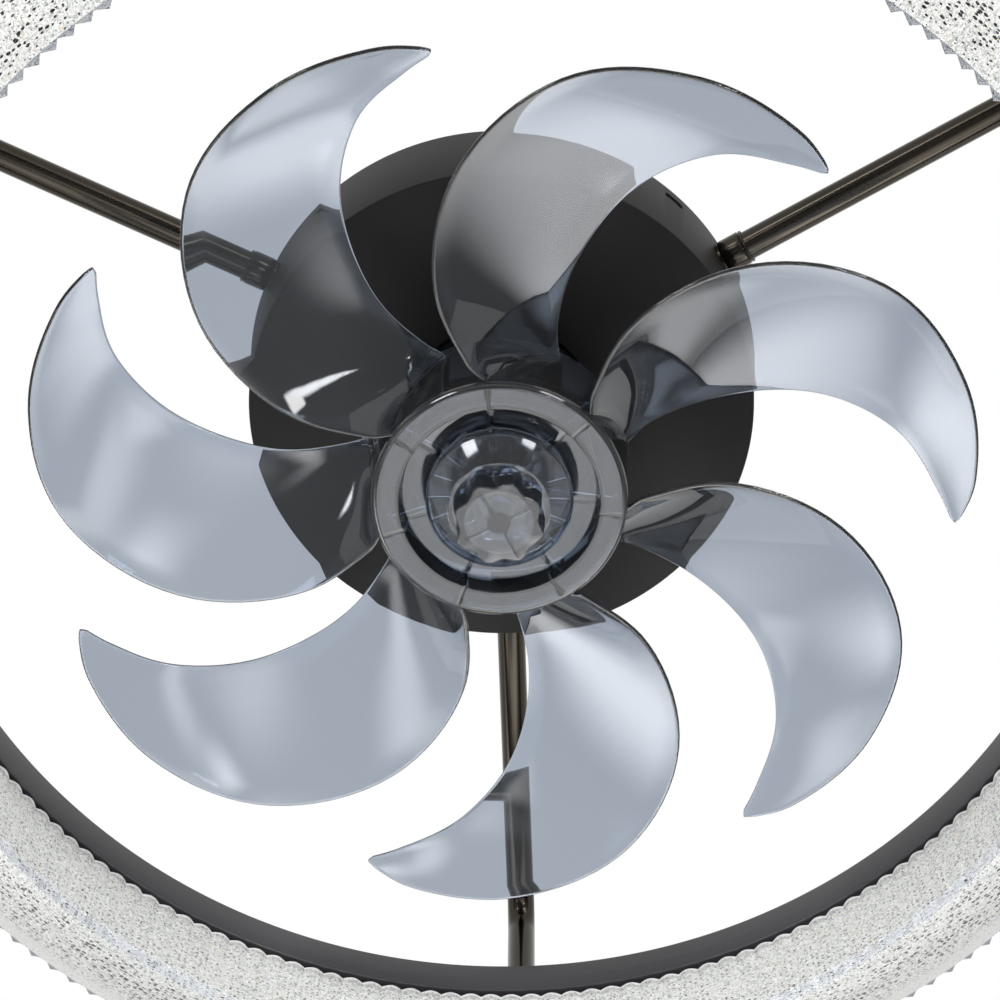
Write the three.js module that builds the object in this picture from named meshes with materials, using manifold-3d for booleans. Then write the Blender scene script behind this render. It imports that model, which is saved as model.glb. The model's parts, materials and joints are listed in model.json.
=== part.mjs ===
// Low profile ceiling fan with a round light ring, in millimetres, +Z up.
// The origin is the centre of the mounting plate's ceiling face, and everything hangs below it.
// A depth is measured down from the ceiling, so its height is minus the depth.
import * as THREE from 'three';
import { mergeVertices } from 'three/addons/utils/BufferGeometryUtils.js';
import Module from 'manifold-3d';

const wasm = await Module();
wasm.setup();

// Clearances between neighbours, and how far a cutter runs past what it cuts
const fitGap = 0.3;
const cutOverrun = 2;

// Canopy shell
const canopyDepth = 37.2;
const canopyTopRadius = 92.8;
const canopyTaper = 2.2;
const canopyFaceRadius = canopyTopRadius - canopyTaper;
const canopyWall = 1.2;
const canopyEdgeRound = 1.6;
const slotLength = 8.5;
const slotHeight = 3.6;
const slotDepth = 7;

// Mounting plate on the ceiling, with springy ears whose nubs hold the canopy by its slots
const plateInset = 6.8;
const plateRadius = canopyTopRadius - plateInset;
const plateThickness = 1.5;
const earWidth = 12;
const earThickness = 1.2;
const earDepth = 14;
const earAngles = [-49, -134.5, 45.5, 131];
const keyholeRadius = 4.5;
const keyholeSlotWidth = 4.5;
const keyholeSlotLength = 12;
const keyholePlace = 58;
const keyholeAngles = [180, 0];
const cableHoleRadius = 9;
const cableHolePlace = 58;
const cableHoleAngle = -100;

// Arms: tubes that run out level from the canopy and bend down into the ring
const armAngles = [-31.4, 87.2, 204.7];
const armDepth = 8;
const armRadius = 5.25;
const armWall = 1;
const armBendRadius = 14;
const armGripLength = 22;
const armInnerEnd = plateRadius - armGripLength;
const collarWall = 0.7;
const collarLength = 9.5;
const collarRound = 0.5;
const saddleWidth = 17;
const saddleLength = 14;
const saddleUnderArm = 3;
const nippleWall = 1.1;
const nippleUp = 12;
const nippleDown = 9;
const nutAcrossCorners = 14;
const nutHeight = 5;

// Light ring
const ringInnerRadius = 212.2;
const ringWidth = 37.8;
const ringTopDepth = 73.9;
const channelHeight = 13.6;
const channelWall = 1.2;
const channelFlare = 1.8;
const channelLip = 3.2;
const stripWidth = 6;
const stripThickness = 1.2;
const diffuserDrop = 2.2;
const diffuserHeight = 37.8;
const diffuserOuterHeight = 18.5;
const diffuserFlare = 2.3;
const diffuserWall = 2.4;
const tongueThickness = 1.6;
const tongueHeight = 8;

// Shaft, and the pin across it that turns the impeller
const shaftRadius = 4;
const shaftThreadLength = 12;
const pinRadius = 1.5;
const pinOverhang = 2;
const pinSeatDepth = 4.7;

// Fan impeller, one moulding of a hub and seven blades
const hubRimDepth = 111.3;
const hubHeight = 32.7;
const hubRimRadius = 43.7;
const hubTaper = 1.5;
const hubWall = 2;
const hubFrontDrop = 2.5;
const hubEdgeWidth = 2.2;
const hubFrontWidth = 9.5;
const recessTaper = 0.9;
const recessDepth = 6;
const bossWall = 5;
const bossHeight = 16;
const hubRibThickness = 1.6;
const hubRibHeight = 10;
const bladeCount = 7;
const bladePhase = 212;
const bladeToRing = 48.6;
const bladeThickness = 1.8;
const bladeCamber = 4;

// Motor: a can that hangs under the plate on three posts and reaches into the fan hub
const motorRadius = 32;
const motorWall = 2;
const motorEndThickness = 3;
const motorCapDepth = 18;
const motorCapBrim = 12;
const motorCapThickness = 3;
const motorToBoss = 2.3;
const motorEdgeRound = 2;
const motorHoleGap = 1.2;
const postRadius = 3.2;
const postInset = 5.5;
const postAngles = [28, 148, 268];
const postScrewRadius = 1.8;
const postScrewLength = 10;
const screwHeadRadius = 3.4;
const screwHeadHeight = 2.4;
const bearingSection = 7;
const bearingWidth = 7;
const bearingSeatWall = 2.7;
const bearingBoreGap = 0.3;
const statorSection = 11.9;
const statorSlots = 12;
const statorSlotWidth = 3;
const statorYoke = 4.5;
const rotorAirGap = 0.6;
const windingLength = 8.5;
const windingInset = 2.4;
const windingToBearing = 1.4;

// Screw knob that holds the impeller on the shaft, with its washer and metal thread
const knobToRecess = 9.1;
const knobSkirtHeight = 5.4;
const knobSkirtBack = 3.7;
const knobShoulderWidth = 7.7;
const knobShoulderDrop = 6.6;
const knobGripStep = 3;
const knobGripTaper = 0.9;
const knobLobes = 8;
const knobLobePhase = 15.5;
const knobLobeHeight = 0.7;
const knobLength = 19.5;
const knobWall = 1.8;
const knobBossWall = 2.1;
const washerThickness = 1;
const washerBrim = 6;
const insertWall = 2.5;
const insertHeight = 9;

// Electronics on the mounting plate. The driver and the receiver fill the room between the motor cap and
// the plate's edge, but for a gap at each side, and the terminal block stands off the plate's edge.
const boxEdgeGap = 11;
const driverLength = 54;
const driverHeight = 20;
const driverCapGap = 5;
const driverAngle = 30;
const receiverLength = 44;
const receiverHeight = 16;
const receiverCapGap = 7;
const receiverAngle = 146;
const terminalLength = 26;
const terminalWidth = 14;
const terminalHeight = 11;
const terminalEdgeGap = 13;
const terminalAngle = -76;

// How finely round shapes are cut
const ringSegments = 64;
const canopySegments = 54;
const hubSegments = 42;
const motorSegments = 24;
const smallSegments = 12;
const tubeSides = 12;
const bendSteps = 6;
const lobeSides = 5;
const hexSides = 6;
const bladeRows = 12;
const bladeColumns = 3;

// How far in a rounded corner's middle point stands, as a share of its radius
const cornerShare = 0.3;

// Diffuser floor between its feet: share of the width in from outside, share of the rise left
const floorShares = [[0.333, 0.55], [0.667, 0.2]];

// Share of a blade's span and chord over which its slope is measured
const normalStepShare = 1e-3;

// Blade edges from the hub to the tip, as shares: radius share, sweep in degrees, height share.
// The low edge faces the room, and the high edge faces the ceiling.
const lowEdgeShares = [
  [0, -1, 0.04], [0.07, -7.5, 0.06], [0.27, -10.8, 0.11], [0.6, -2, 0.14],
  [0.88, 13.5, 0.18], [0.985, 29, 0.15], [0.99, 42, 0.21], [0.956, 48.9, 0.31],
];
const highEdgeShares = [
  [0, 34.5, 0.86], [0.1, 26.5, 0.87], [0.285, 23.9, 0.76], [0.556, 28.4, 0.72],
  [0.774, 36.7, 0.6], [0.887, 45, 0.41], [0.936, 49.1, 0.33],
];

// Finishes
function finish(color, roughness, metalness, opacity = 1) {
  return new THREE.MeshStandardMaterial({ color, roughness, metalness, opacity, transparent: opacity < 1 });
}
const canopyPaint = finish(0x2a2a2b, 0.55, 0.2);
const ringPaint = finish(0x464447, 0.45, 0.3);
const blackNickel = finish(0x4a4640, 0.28, 0.9);
const smokyPlastic = finish(0xa9b4c2, 0.08, 0, 0.45);
const crystalAcrylic = finish(0xe2e2dc, 0.2, 0, 0.8);
const motorPaint = finish(0x1b1b1d, 0.5, 0.2);
const zincSteel = finish(0xb4b6b8, 0.35, 0.9);
const bearingSteel = finish(0xc6c8ca, 0.2, 1);
const coreSteel = finish(0x8a8c90, 0.5, 0.8);
const copperWire = finish(0xb4683a, 0.4, 0.8);
const brass = finish(0xb89a50, 0.35, 0.9);
const whitePlastic = finish(0xe4e4e0, 0.5, 0);
const greyPlastic = finish(0x9a9c9e, 0.5, 0);
const boardWhite = finish(0xf0f0ea, 0.6, 0);

// Places that follow from the sizes
const collarRadius = armRadius + fitGap + collarWall;
const armReach = ringInnerRadius + ringWidth / 2;
const armEndDepth = ringTopDepth - fitGap;
const armBore = armRadius - armWall;
const nippleRadius = armBore - fitGap;
const recessRadius = hubRimRadius - hubFrontWidth;
const bossRadius = shaftRadius + bossWall;
const bossTop = hubRimDepth - recessDepth - hubWall - bossHeight;
const pinDepth = bossTop + pinSeatDepth;
const motorEndDepth = bossTop - motorToBoss;
const motorCapRadius = motorRadius + motorCapBrim;
const capBottom = motorCapDepth + motorCapThickness;
const bearingTop = capBottom + fitGap;
const bearingRadius = shaftRadius + bearingSection;
const seatOuter = bearingRadius + fitGap + bearingSeatWall;
const endTop = motorEndDepth - motorEndThickness;
const statorOuter = motorRadius - motorWall - fitGap;
const statorInner = statorOuter - statorSection;
const coreEndRoom = 2 * fitGap + bearingWidth + windingToBearing + windingLength;
const coreTop = capBottom + coreEndRoom;
const coreBottom = endTop - coreEndRoom;
const bladeReach = ringInnerRadius - bladeToRing;
const insertRadius = shaftRadius + insertWall;

const fan = new THREE.Group();

// Angles in degrees, measured from +X towards +Y
function radians(degrees) {
  return THREE.MathUtils.degToRad(degrees);
}

// A closed geometry as a solid, turned the right way out if it needs it
function solidOf(geometry) {
  const bare = geometry.index ? geometry.toNonIndexed() : geometry.clone();
  bare.deleteAttribute('normal');
  bare.deleteAttribute('uv');
  const merged = mergeVertices(bare);
  const places = merged.attributes.position;
  const corners = Array.from(merged.index.array);
  const triangles = [];
  let volume = 0;
  const [a, b, c] = [new THREE.Vector3(), new THREE.Vector3(), new THREE.Vector3()];
  for (let i = 0; i < corners.length; i += 3) {
    const [p, q, r] = corners.slice(i, i + 3);
    if (p === q || q === r || r === p) {
      continue;
    }
    triangles.push([p, q, r]);
    a.fromBufferAttribute(places, p);
    b.fromBufferAttribute(places, q);
    c.fromBufferAttribute(places, r);
    volume += a.dot(b.cross(c));
  }
  const triVerts = new Uint32Array(triangles.flatMap(([p, q, r]) => (volume < 0 ? [p, r, q] : [p, q, r])));
  const vertProperties = new Float32Array(places.array);
  return new wasm.Manifold(new wasm.Mesh({ numProp: 3, vertProperties, triVerts }));
}

// A solid as a named mesh of the fan
function addPiece(name, solid, material) {
  const raw = solid.getMesh();
  const geometry = new THREE.BufferGeometry();
  geometry.setAttribute('position', new THREE.BufferAttribute(raw.vertProperties, 3));
  geometry.setIndex(new THREE.BufferAttribute(raw.triVerts, 1));
  const mesh = new THREE.Mesh(geometry, material);
  mesh.name = name;
  fan.add(mesh);
}

// A turned solid from an outline of [radius, depth] points that closes on itself or on the axis
function turned(outline, segments) {
  const closed = outline[0][0] === 0 ? outline : [...outline, outline[0]];
  const points = closed.map(([radius, depth]) => new THREE.Vector2(radius, -depth));
  return solidOf(new THREE.LatheGeometry(points, segments).rotateX(Math.PI / 2));
}

// A round bar or a tube between two depths; an inner radius of 0 makes it solid
function round(outerRadius, innerRadius, topDepth, bottomDepth, segments) {
  return turned([
    [innerRadius, topDepth], [outerRadius, topDepth],
    [outerRadius, bottomDepth], [innerRadius, bottomDepth],
  ], segments);
}

// A hexagon nut with a round bore
function hexNut(cornerRadius, boreRadius, topDepth, bottomDepth) {
  const bore = round(boreRadius, 0, topDepth - cutOverrun, bottomDepth + cutOverrun, smallSegments);
  return round(cornerRadius, 0, topDepth, bottomDepth, hexSides).subtract(bore);
}

// A box by its middle, with its long side across the radius that it is turned to
function boxAt(length, width, topDepth, bottomDepth, place, degrees) {
  const box = new THREE.BoxGeometry(width, length, bottomDepth - topDepth);
  box.translate(place, 0, -(topDepth + bottomDepth) / 2);
  return solidOf(box.rotateZ(radians(degrees)));
}

// A round bar along X from one place to another, at a depth, turned about the fan's axis
function spokeBar(radius, from, to, depth, degrees, segments) {
  const bar = new THREE.CylinderGeometry(radius, radius, to - from, segments).rotateZ(Math.PI / 2);
  bar.translate((from + to) / 2, 0, -depth);
  return solidOf(bar.rotateZ(radians(degrees)));
}

// A solid moved out along the radius and turned about the fan's axis
function placed(solid, place, degrees) {
  return solid.translate([place, 0, 0]).rotate([0, 0, degrees]);
}

// Inner wall of the canopy at a depth
function canopyInnerRadius(depth) {
  const taper = (canopyTopRadius - canopyFaceRadius) / canopyDepth;
  return canopyTopRadius - canopyWall - taper * depth;
}

// Mounting plate with its ears, keyholes and cable hole
function makePlate() {
  const earFace = canopyInnerRadius(earDepth) - fitGap - earWidth ** 2 / (8 * plateRadius);
  let plate = round(plateRadius, 0, 0, plateThickness, canopySegments);
  for (const degrees of earAngles) {
    const tabInner = plateRadius - earWidth;
    const tab = boxAt(earWidth, earFace - tabInner, 0, plateThickness, (earFace + tabInner) / 2, degrees);
    const ear = boxAt(earWidth, earThickness, 0, earDepth, earFace - earThickness / 2, degrees);
    const nubEnd = canopyInnerRadius(slotDepth) + canopyWall / 2;
    const nubHalf = slotHeight / 2 - fitGap;
    const nub = boxAt(slotLength - slotHeight, nubEnd - earFace + earThickness, slotDepth - nubHalf,
      slotDepth + nubHalf, (nubEnd + earFace - earThickness) / 2, degrees);
    plate = plate.add(tab).add(ear).add(nub);
  }
  const through = plateThickness + cutOverrun;
  for (const degrees of keyholeAngles) {
    const eye = placed(round(keyholeRadius, 0, -cutOverrun, through, smallSegments), keyholePlace, degrees);
    const slotMiddle = keyholePlace - keyholeSlotLength / 2;
    const slot = boxAt(keyholeSlotWidth, keyholeSlotLength, -cutOverrun, through, slotMiddle, degrees);
    plate = plate.subtract(eye).subtract(slot);
  }
  const cableHole = round(cableHoleRadius, 0, -cutOverrun, through, smallSegments);
  plate = plate.subtract(placed(cableHole, cableHolePlace, cableHoleAngle));
  addPiece('mounting_plate', plate, motorPaint);
}

// Canopy shell with the motor's hole, the arm holes and the side screw slots
function makeCanopy() {
  const holeRadius = motorRadius + motorHoleGap;
  const sideEnd = canopyDepth - canopyEdgeRound;
  const insideFace = canopyDepth - canopyWall;
  const outline = [
    [canopyTopRadius - canopyWall, fitGap],
    [canopyTopRadius, fitGap],
    [canopyFaceRadius, sideEnd],
    [canopyFaceRadius - canopyEdgeRound * cornerShare, canopyDepth - canopyEdgeRound * cornerShare],
    [canopyFaceRadius - canopyEdgeRound, canopyDepth],
    [holeRadius, canopyDepth],
    [holeRadius, insideFace],
    [canopyInnerRadius(insideFace), insideFace],
  ];
  let shell = turned(outline, canopySegments);
  const wallInside = canopyFaceRadius - canopyWall - cutOverrun;
  const wallOutside = canopyTopRadius + cutOverrun;
  for (const degrees of armAngles) {
    const armHole = spokeBar(armRadius + fitGap, wallInside, wallOutside, armDepth, degrees, smallSegments);
    shell = shell.subtract(armHole);
  }
  for (const degrees of earAngles) {
    const slot = boxAt(slotLength - slotHeight, wallOutside - wallInside, slotDepth - slotHeight / 2,
      slotDepth + slotHeight / 2, (wallInside + wallOutside) / 2, degrees);
    shell = shell.subtract(slot);
    for (const side of [-1, 1]) {
      const end = spokeBar(slotHeight / 2, wallInside, wallOutside, slotDepth, 0, smallSegments);
      shell = shell.subtract(end.translate([0, side * (slotLength - slotHeight) / 2, 0]).rotate([0, 0, degrees]));
    }
  }
  addPiece('canopy_shell', shell, canopyPaint);
}

// Centre line of one arm: level, then a quarter bend, then straight down
class ArmPath extends THREE.Curve {
  constructor(reach, bottomDepth) {
    super();
    this.stations = [{ place: armInnerEnd, depth: armDepth, dip: 0 }];
    for (let step = 0; step <= bendSteps; step += 1) {
      const dip = (step / bendSteps) * Math.PI / 2;
      this.stations.push({
        place: reach - armBendRadius * (1 - Math.sin(dip)),
        depth: armDepth + armBendRadius * (1 - Math.cos(dip)),
        dip,
      });
    }
    this.stations.push({ place: reach, depth: bottomDepth, dip: Math.PI / 2 });
  }

  stationAt(share) {
    return this.stations[Math.round(share * (this.stations.length - 1))];
  }

  getPointAt(share) {
    const station = this.stationAt(share);
    return new THREE.Vector3(station.place, 0, -station.depth);
  }

  getTangentAt(share) {
    const { dip } = this.stationAt(share);
    return new THREE.Vector3(Math.cos(dip), 0, -Math.sin(dip));
  }
}

// Section of a tube, or of a bar where the inner radius is 0
function ringSection(outerRadius, innerRadius, sides) {
  const corner = (radius, side) => {
    const turn = ((side + 0.5) / sides) * 2 * Math.PI;
    return new THREE.Vector2(radius * Math.cos(turn), radius * Math.sin(turn));
  };
  const section = new THREE.Shape(Array.from({ length: sides }, (_, side) => corner(outerRadius, side)));
  if (innerRadius > 0) {
    section.holes.push(new THREE.Path(Array.from({ length: sides }, (_, side) => corner(innerRadius, side))));
  }
  return section;
}

// One arm: its tube, the collar outside the canopy, the saddle under the plate, the nipple and the nut
function makeArm(number, degrees) {
  const path = new ArmPath(armReach, armEndDepth);
  const tube = new THREE.ExtrudeGeometry(ringSection(armRadius, armBore, tubeSides), {
    steps: path.stations.length - 1,
    extrudePath: path,
  });
  addPiece(`arm_tube_${number}`, solidOf(tube).rotate([0, 0, degrees]), blackNickel);

  const collarInner = canopyTopRadius + fitGap;
  const collarOuter = collarInner + collarLength;
  const collarProfile = [
    [armRadius + fitGap, collarInner],
    [collarRadius - collarRound, collarInner],
    [collarRadius - collarRound * cornerShare, collarInner + collarRound * cornerShare],
    [collarRadius, collarInner + collarRound],
    [collarRadius, collarOuter - collarRound / 2],
    [collarRadius - collarRound / 2, collarOuter],
    [armRadius + fitGap, collarOuter],
  ];
  const collar = turned(collarProfile, smallSegments).rotate([0, -90, 0]);
  addPiece(`arm_collar_${number}`, collar.translate([0, 0, -armDepth]).rotate([0, 0, degrees]), blackNickel);

  const saddleTop = plateThickness + fitGap;
  const saddleBottom = armDepth + armRadius + saddleUnderArm;
  const saddlePlace = armInnerEnd + saddleLength / 2 + fitGap;
  const block = boxAt(saddleWidth, saddleLength, saddleTop, saddleBottom, saddlePlace, degrees);
  const bore = spokeBar(armRadius + fitGap, armInnerEnd - cutOverrun, armInnerEnd + saddleLength + cutOverrun,
    armDepth, degrees, smallSegments);
  addPiece(`arm_saddle_${number}`, block.subtract(bore), zincSteel);

  const nipple = round(nippleRadius, nippleRadius - nippleWall, ringTopDepth - nippleUp,
    ringTopDepth + nippleDown, smallSegments);
  addPiece(`arm_nipple_${number}`, placed(nipple, armReach, degrees), zincSteel);

  const nutTop = ringTopDepth + channelWall + fitGap;
  const nut = hexNut(nutAcrossCorners / 2, nippleRadius + fitGap, nutTop, nutTop + nutHeight);
  addPiece(`arm_nut_${number}`, placed(nut, armReach, degrees), zincSteel);
}

// Metal channel of the ring, open below, with an inturned lip along each wall
function makeChannel() {
  const inner = ringInnerRadius;
  const outer = ringInnerRadius + ringWidth;
  const top = ringTopDepth;
  const bottom = ringTopDepth + channelHeight;
  const wall = channelWall;
  const flare = channelFlare;
  const channel = turned([
    [inner, top], [outer, top], [outer, bottom], [outer - channelLip, bottom],
    [outer - channelLip, bottom - wall], [outer - wall, bottom - wall], [outer - wall, top + wall],
    [inner + wall, top + wall], [inner + flare + wall, bottom - wall],
    [inner + flare + channelLip, bottom - wall], [inner + flare + channelLip, bottom],
    [inner + flare, bottom],
  ], ringSegments);
  let drilled = channel;
  for (const degrees of armAngles) {
    const hole = round(nippleRadius + fitGap, 0, top - cutOverrun, top + wall + cutOverrun, smallSegments);
    drilled = drilled.subtract(placed(hole, armReach, degrees));
  }
  addPiece('ring_channel', drilled, ringPaint);
}

// Light strip under the channel's top, beside its outer wall
function makeStrip() {
  const outer = ringInnerRadius + ringWidth - channelWall - fitGap;
  const top = ringTopDepth + channelWall + fitGap;
  addPiece('led_strip', round(outer, outer - stripWidth, top, top + stripThickness, canopySegments), boardWhite);
}

// Crystal diffuser: a trough whose floor rises outwards, with two tongues up inside the channel
function makeDiffuser() {
  const channelBottom = ringTopDepth + channelHeight;
  const top = channelBottom + diffuserDrop;
  const innerTop = ringInnerRadius + channelFlare;
  const outerTop = ringInnerRadius + ringWidth + fitGap;
  const innerFoot = innerTop + diffuserFlare;
  const outerFoot = outerTop + diffuserFlare / 2;
  const innerBottom = top + diffuserHeight;
  const outerBottom = top + diffuserOuterHeight;
  const wall = diffuserWall;
  const innerTongue = ringInnerRadius + channelFlare + channelLip + fitGap;
  const outerTongue = ringInnerRadius + ringWidth - channelLip - fitGap;
  const tongueTop = channelBottom - tongueHeight;
  const floorRise = innerBottom - outerBottom;
  addPiece('diffuser_ring', turned([
    [innerTop, top], [innerTongue, top], [innerTongue, tongueTop],
    [innerTongue + tongueThickness, tongueTop], [innerTongue + tongueThickness, innerBottom - wall * 2],
    [outerFoot - wall, outerBottom - wall / 2],
    [outerTongue - tongueThickness, top + wall], [outerTongue - tongueThickness, tongueTop],
    [outerTongue, tongueTop], [outerTongue, top], [outerTop, top],
    [outerFoot, outerBottom - wall / 2], [outerFoot - wall, outerBottom + wall / 2],
    ...floorShares.map(([inShare, riseShare]) => [outerFoot - ringWidth * inShare,
      innerBottom - floorRise * riseShare]),
    [innerFoot + wall, innerBottom], [innerFoot, innerBottom - wall / 2],
  ], ringSegments), crystalAcrylic);
}

// Motor cap with the upper bearing's seat, hung on three posts and screws
function makeMotorMount() {
  const seatBottom = bearingTop + bearingWidth;
  let cap = turned([
    [0, motorCapDepth], [motorCapRadius, motorCapDepth], [motorCapRadius, capBottom],
    [seatOuter, capBottom], [seatOuter, seatBottom], [bearingRadius + fitGap, seatBottom],
    [bearingRadius + fitGap, capBottom], [0, capBottom],
  ], motorSegments);
  const postPlace = motorCapRadius - postInset;
  postAngles.forEach((degrees, index) => {
    const number = index + 1;
    const hole = round(postScrewRadius + fitGap, 0, motorCapDepth - cutOverrun, capBottom + cutOverrun,
      smallSegments);
    cap = cap.subtract(placed(hole, postPlace, degrees));

    const postTop = plateThickness + fitGap;
    const postBottom = motorCapDepth - fitGap;
    const threadTop = capBottom - postScrewLength;
    const thread = round(postScrewRadius + fitGap, 0, threadTop, postBottom + cutOverrun, smallSegments);
    const post = round(postRadius, 0, postTop, postBottom, hexSides).subtract(thread);
    addPiece(`motor_post_${number}`, placed(post, postPlace, degrees), zincSteel);

    const headTop = capBottom + fitGap;
    const screw = turned([
      [0, headTop - postScrewLength], [postScrewRadius, headTop - postScrewLength],
      [postScrewRadius, headTop], [screwHeadRadius, headTop],
      [screwHeadRadius, headTop + screwHeadHeight], [0, headTop + screwHeadHeight],
    ], smallSegments);
    addPiece(`motor_screw_${number}`, placed(screw, postPlace, degrees), zincSteel);
  });
  addPiece('motor_cap', cap, motorPaint);
}

// Motor can, closed at its lower end round the lower bearing's seat
function makeCan() {
  const inner = motorRadius - motorWall;
  const top = capBottom + fitGap;
  const seatTop = endTop - fitGap - bearingWidth;
  const shaftHole = shaftRadius + motorWall;
  addPiece('motor_can', turned([
    [inner, top], [motorRadius, top], [motorRadius, motorEndDepth - motorEdgeRound],
    [motorRadius - motorEdgeRound, motorEndDepth], [shaftHole, motorEndDepth], [shaftHole, endTop],
    [bearingRadius + fitGap, endTop], [bearingRadius + fitGap, seatTop], [seatOuter, seatTop],
    [seatOuter, endTop], [inner, endTop],
  ], motorSegments), motorPaint);
}

// Stator core with slots towards the rotor, and a winding at each end
function makeStator() {
  const outline = [];
  const slotFloor = statorOuter - statorYoke;
  for (let slot = 0; slot < statorSlots; slot += 1) {
    const middle = (slot / statorSlots) * 2 * Math.PI;
    for (const [radius, side] of [[statorInner, -1], [slotFloor, -1], [slotFloor, 1], [statorInner, 1]]) {
      const swing = Math.asin((side * statorSlotWidth / 2) / radius);
      outline.push(new THREE.Vector2(radius * Math.cos(middle + swing), radius * Math.sin(middle + swing)));
    }
  }
  const section = ringSection(statorOuter, 0, motorSegments);
  section.holes.push(new THREE.Path(outline));
  const core = new THREE.ExtrudeGeometry(section, { depth: coreBottom - coreTop, bevelEnabled: false });
  addPiece('stator_core', solidOf(core.translate(0, 0, -coreBottom)), coreSteel);

  const windingOuter = statorOuter - fitGap;
  const windingInner = statorInner + windingInset - fitGap;
  const starts = [coreTop - fitGap - windingLength, coreBottom + fitGap];
  ['upper_winding', 'lower_winding'].forEach((name, index) => {
    const start = starts[index];
    const bevel = windingLength / 3;
    const end = start + windingLength;
    const middle = start + windingLength / 2;
    addPiece(name, turned([
      [windingInner, middle], [windingInner + bevel, start], [windingOuter - bevel, start],
      [windingOuter, middle], [windingOuter - bevel, end], [windingInner + bevel, end],
    ], motorSegments), copperWire);
  });
}

// Bearings, rotor core, shaft and drive pin
function makeRotor() {
  const tops = [bearingTop, endTop - fitGap - bearingWidth];
  ['upper_bearing', 'lower_bearing'].forEach((name, index) => {
    const top = tops[index];
    addPiece(name, round(bearingRadius, shaftRadius + bearingBoreGap, top, top + bearingWidth - fitGap,
      smallSegments), bearingSteel);
  });
  addPiece('rotor_core', round(statorInner - rotorAirGap, shaftRadius + fitGap, coreTop, coreBottom,
    motorSegments), coreSteel);
  const shaftBottom = hubRimDepth - recessDepth + shaftThreadLength;
  const pinHalf = bossRadius + pinOverhang;
  const shaft = round(shaftRadius, 0, bearingTop, shaftBottom, smallSegments);
  const pinHole = spokeBar(pinRadius + fitGap, -shaftRadius - cutOverrun, shaftRadius + cutOverrun, pinDepth, 0,
    smallSegments);
  addPiece('motor_shaft', shaft.subtract(pinHole), bearingSteel);
  addPiece('drive_pin', spokeBar(pinRadius, -pinHalf, pinHalf, pinDepth, 0, smallSegments), bearingSteel);
}

// Point on a smooth line through the edge shares, at a share of the way from the hub to the tip
function edgePoint(shares, along) {
  const spans = shares.length - 1;
  const span = Math.min(Math.floor(along * spans), spans - 1);
  const t = along * spans - span;
  const at = (index) => {
    if (index < 0) {
      return shares[0].map((value, axis) => 2 * value - shares[1][axis]);
    }
    if (index > spans) {
      return shares[spans].map((value, axis) => 2 * value - shares[spans - 1][axis]);
    }
    return shares[index];
  };
  const [before, from, to, after] = [at(span - 1), at(span), at(span + 1), at(span + 2)];
  return from.map((value, axis) => {
    const startSlope = (to[axis] - before[axis]) / 2;
    const endSlope = (after[axis] - value) / 2;
    const rise = to[axis] - value;
    return value + t * startSlope + t ** 2 * (3 * rise - 2 * startSlope - endSlope)
      + t ** 3 * (startSlope + endSlope - 2 * rise);
  });
}

// Point on the blade's middle surface, across from the low edge to the high edge
function bladePoint(along, across) {
  const low = edgePoint(lowEdgeShares, along);
  const high = edgePoint(highEdgeShares, along);
  const [radiusShare, sweep, heightShare] = low.map((value, axis) => value + (high[axis] - value) * across);
  const root = hubRimRadius - hubWall / 2;
  const radius = root + radiusShare * (bladeReach - root);
  const bulge = bladeCamber * 4 * across * (1 - across) * (1 - along);
  const height = heightShare * hubHeight + bulge - hubRimDepth;
  const turn = radians(sweep);
  return new THREE.Vector3(radius * Math.cos(turn), radius * Math.sin(turn), height);
}

// One blade as a plate of even thickness, its root buried in the hub's wall
function bladeSolid(degrees) {
  const step = normalStepShare;
  const sides = [[], []];
  for (let row = 0; row <= bladeRows; row += 1) {
    for (let column = 0; column <= bladeColumns; column += 1) {
      const along = row / bladeRows;
      const across = column / bladeColumns;
      const inAlong = Math.min(Math.max(along, step), 1 - step);
      const inAcross = Math.min(Math.max(across, step), 1 - step);
      const alongStep = bladePoint(inAlong + step, inAcross).sub(bladePoint(inAlong - step, inAcross));
      const acrossStep = bladePoint(inAlong, inAcross + step).sub(bladePoint(inAlong, inAcross - step));
      const normal = alongStep.cross(acrossStep).normalize();
      const middle = bladePoint(along, across);
      sides[0].push(middle.clone().addScaledVector(normal, bladeThickness / 2));
      sides[1].push(middle.clone().addScaledVector(normal, -bladeThickness / 2));
    }
  }
  const width = bladeColumns + 1;
  const perSide = width * (bladeRows + 1);
  const corner = (side, row, column) => side * perSide + row * width + column;
  const index = [];
  const face = (a, b, c, d) => index.push(a, b, c, a, c, d);
  for (let row = 0; row < bladeRows; row += 1) {
    for (let column = 0; column < bladeColumns; column += 1) {
      face(corner(0, row, column), corner(0, row + 1, column), corner(0, row + 1, column + 1),
        corner(0, row, column + 1));
      face(corner(1, row, column), corner(1, row, column + 1), corner(1, row + 1, column + 1),
        corner(1, row + 1, column));
    }
  }
  const rim = [];
  for (let column = 0; column < bladeColumns; column += 1) {
    rim.push([[0, column], [0, column + 1]]);
    rim.push([[bladeRows, column + 1], [bladeRows, column]]);
  }
  for (let row = 0; row < bladeRows; row += 1) {
    rim.push([[row + 1, 0], [row, 0]]);
    rim.push([[row, bladeColumns], [row + 1, bladeColumns]]);
  }
  for (const [[row, column], [nextRow, nextColumn]] of rim) {
    face(corner(0, row, column), corner(0, nextRow, nextColumn), corner(1, nextRow, nextColumn),
      corner(1, row, column));
  }
  const geometry = new THREE.BufferGeometry();
  const places = sides.flat().flatMap((point) => point.toArray());
  geometry.setAttribute('position', new THREE.BufferAttribute(new Float32Array(places), 3));
  geometry.setIndex(index);
  return solidOf(geometry).rotate([0, 0, degrees]);
}

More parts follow.
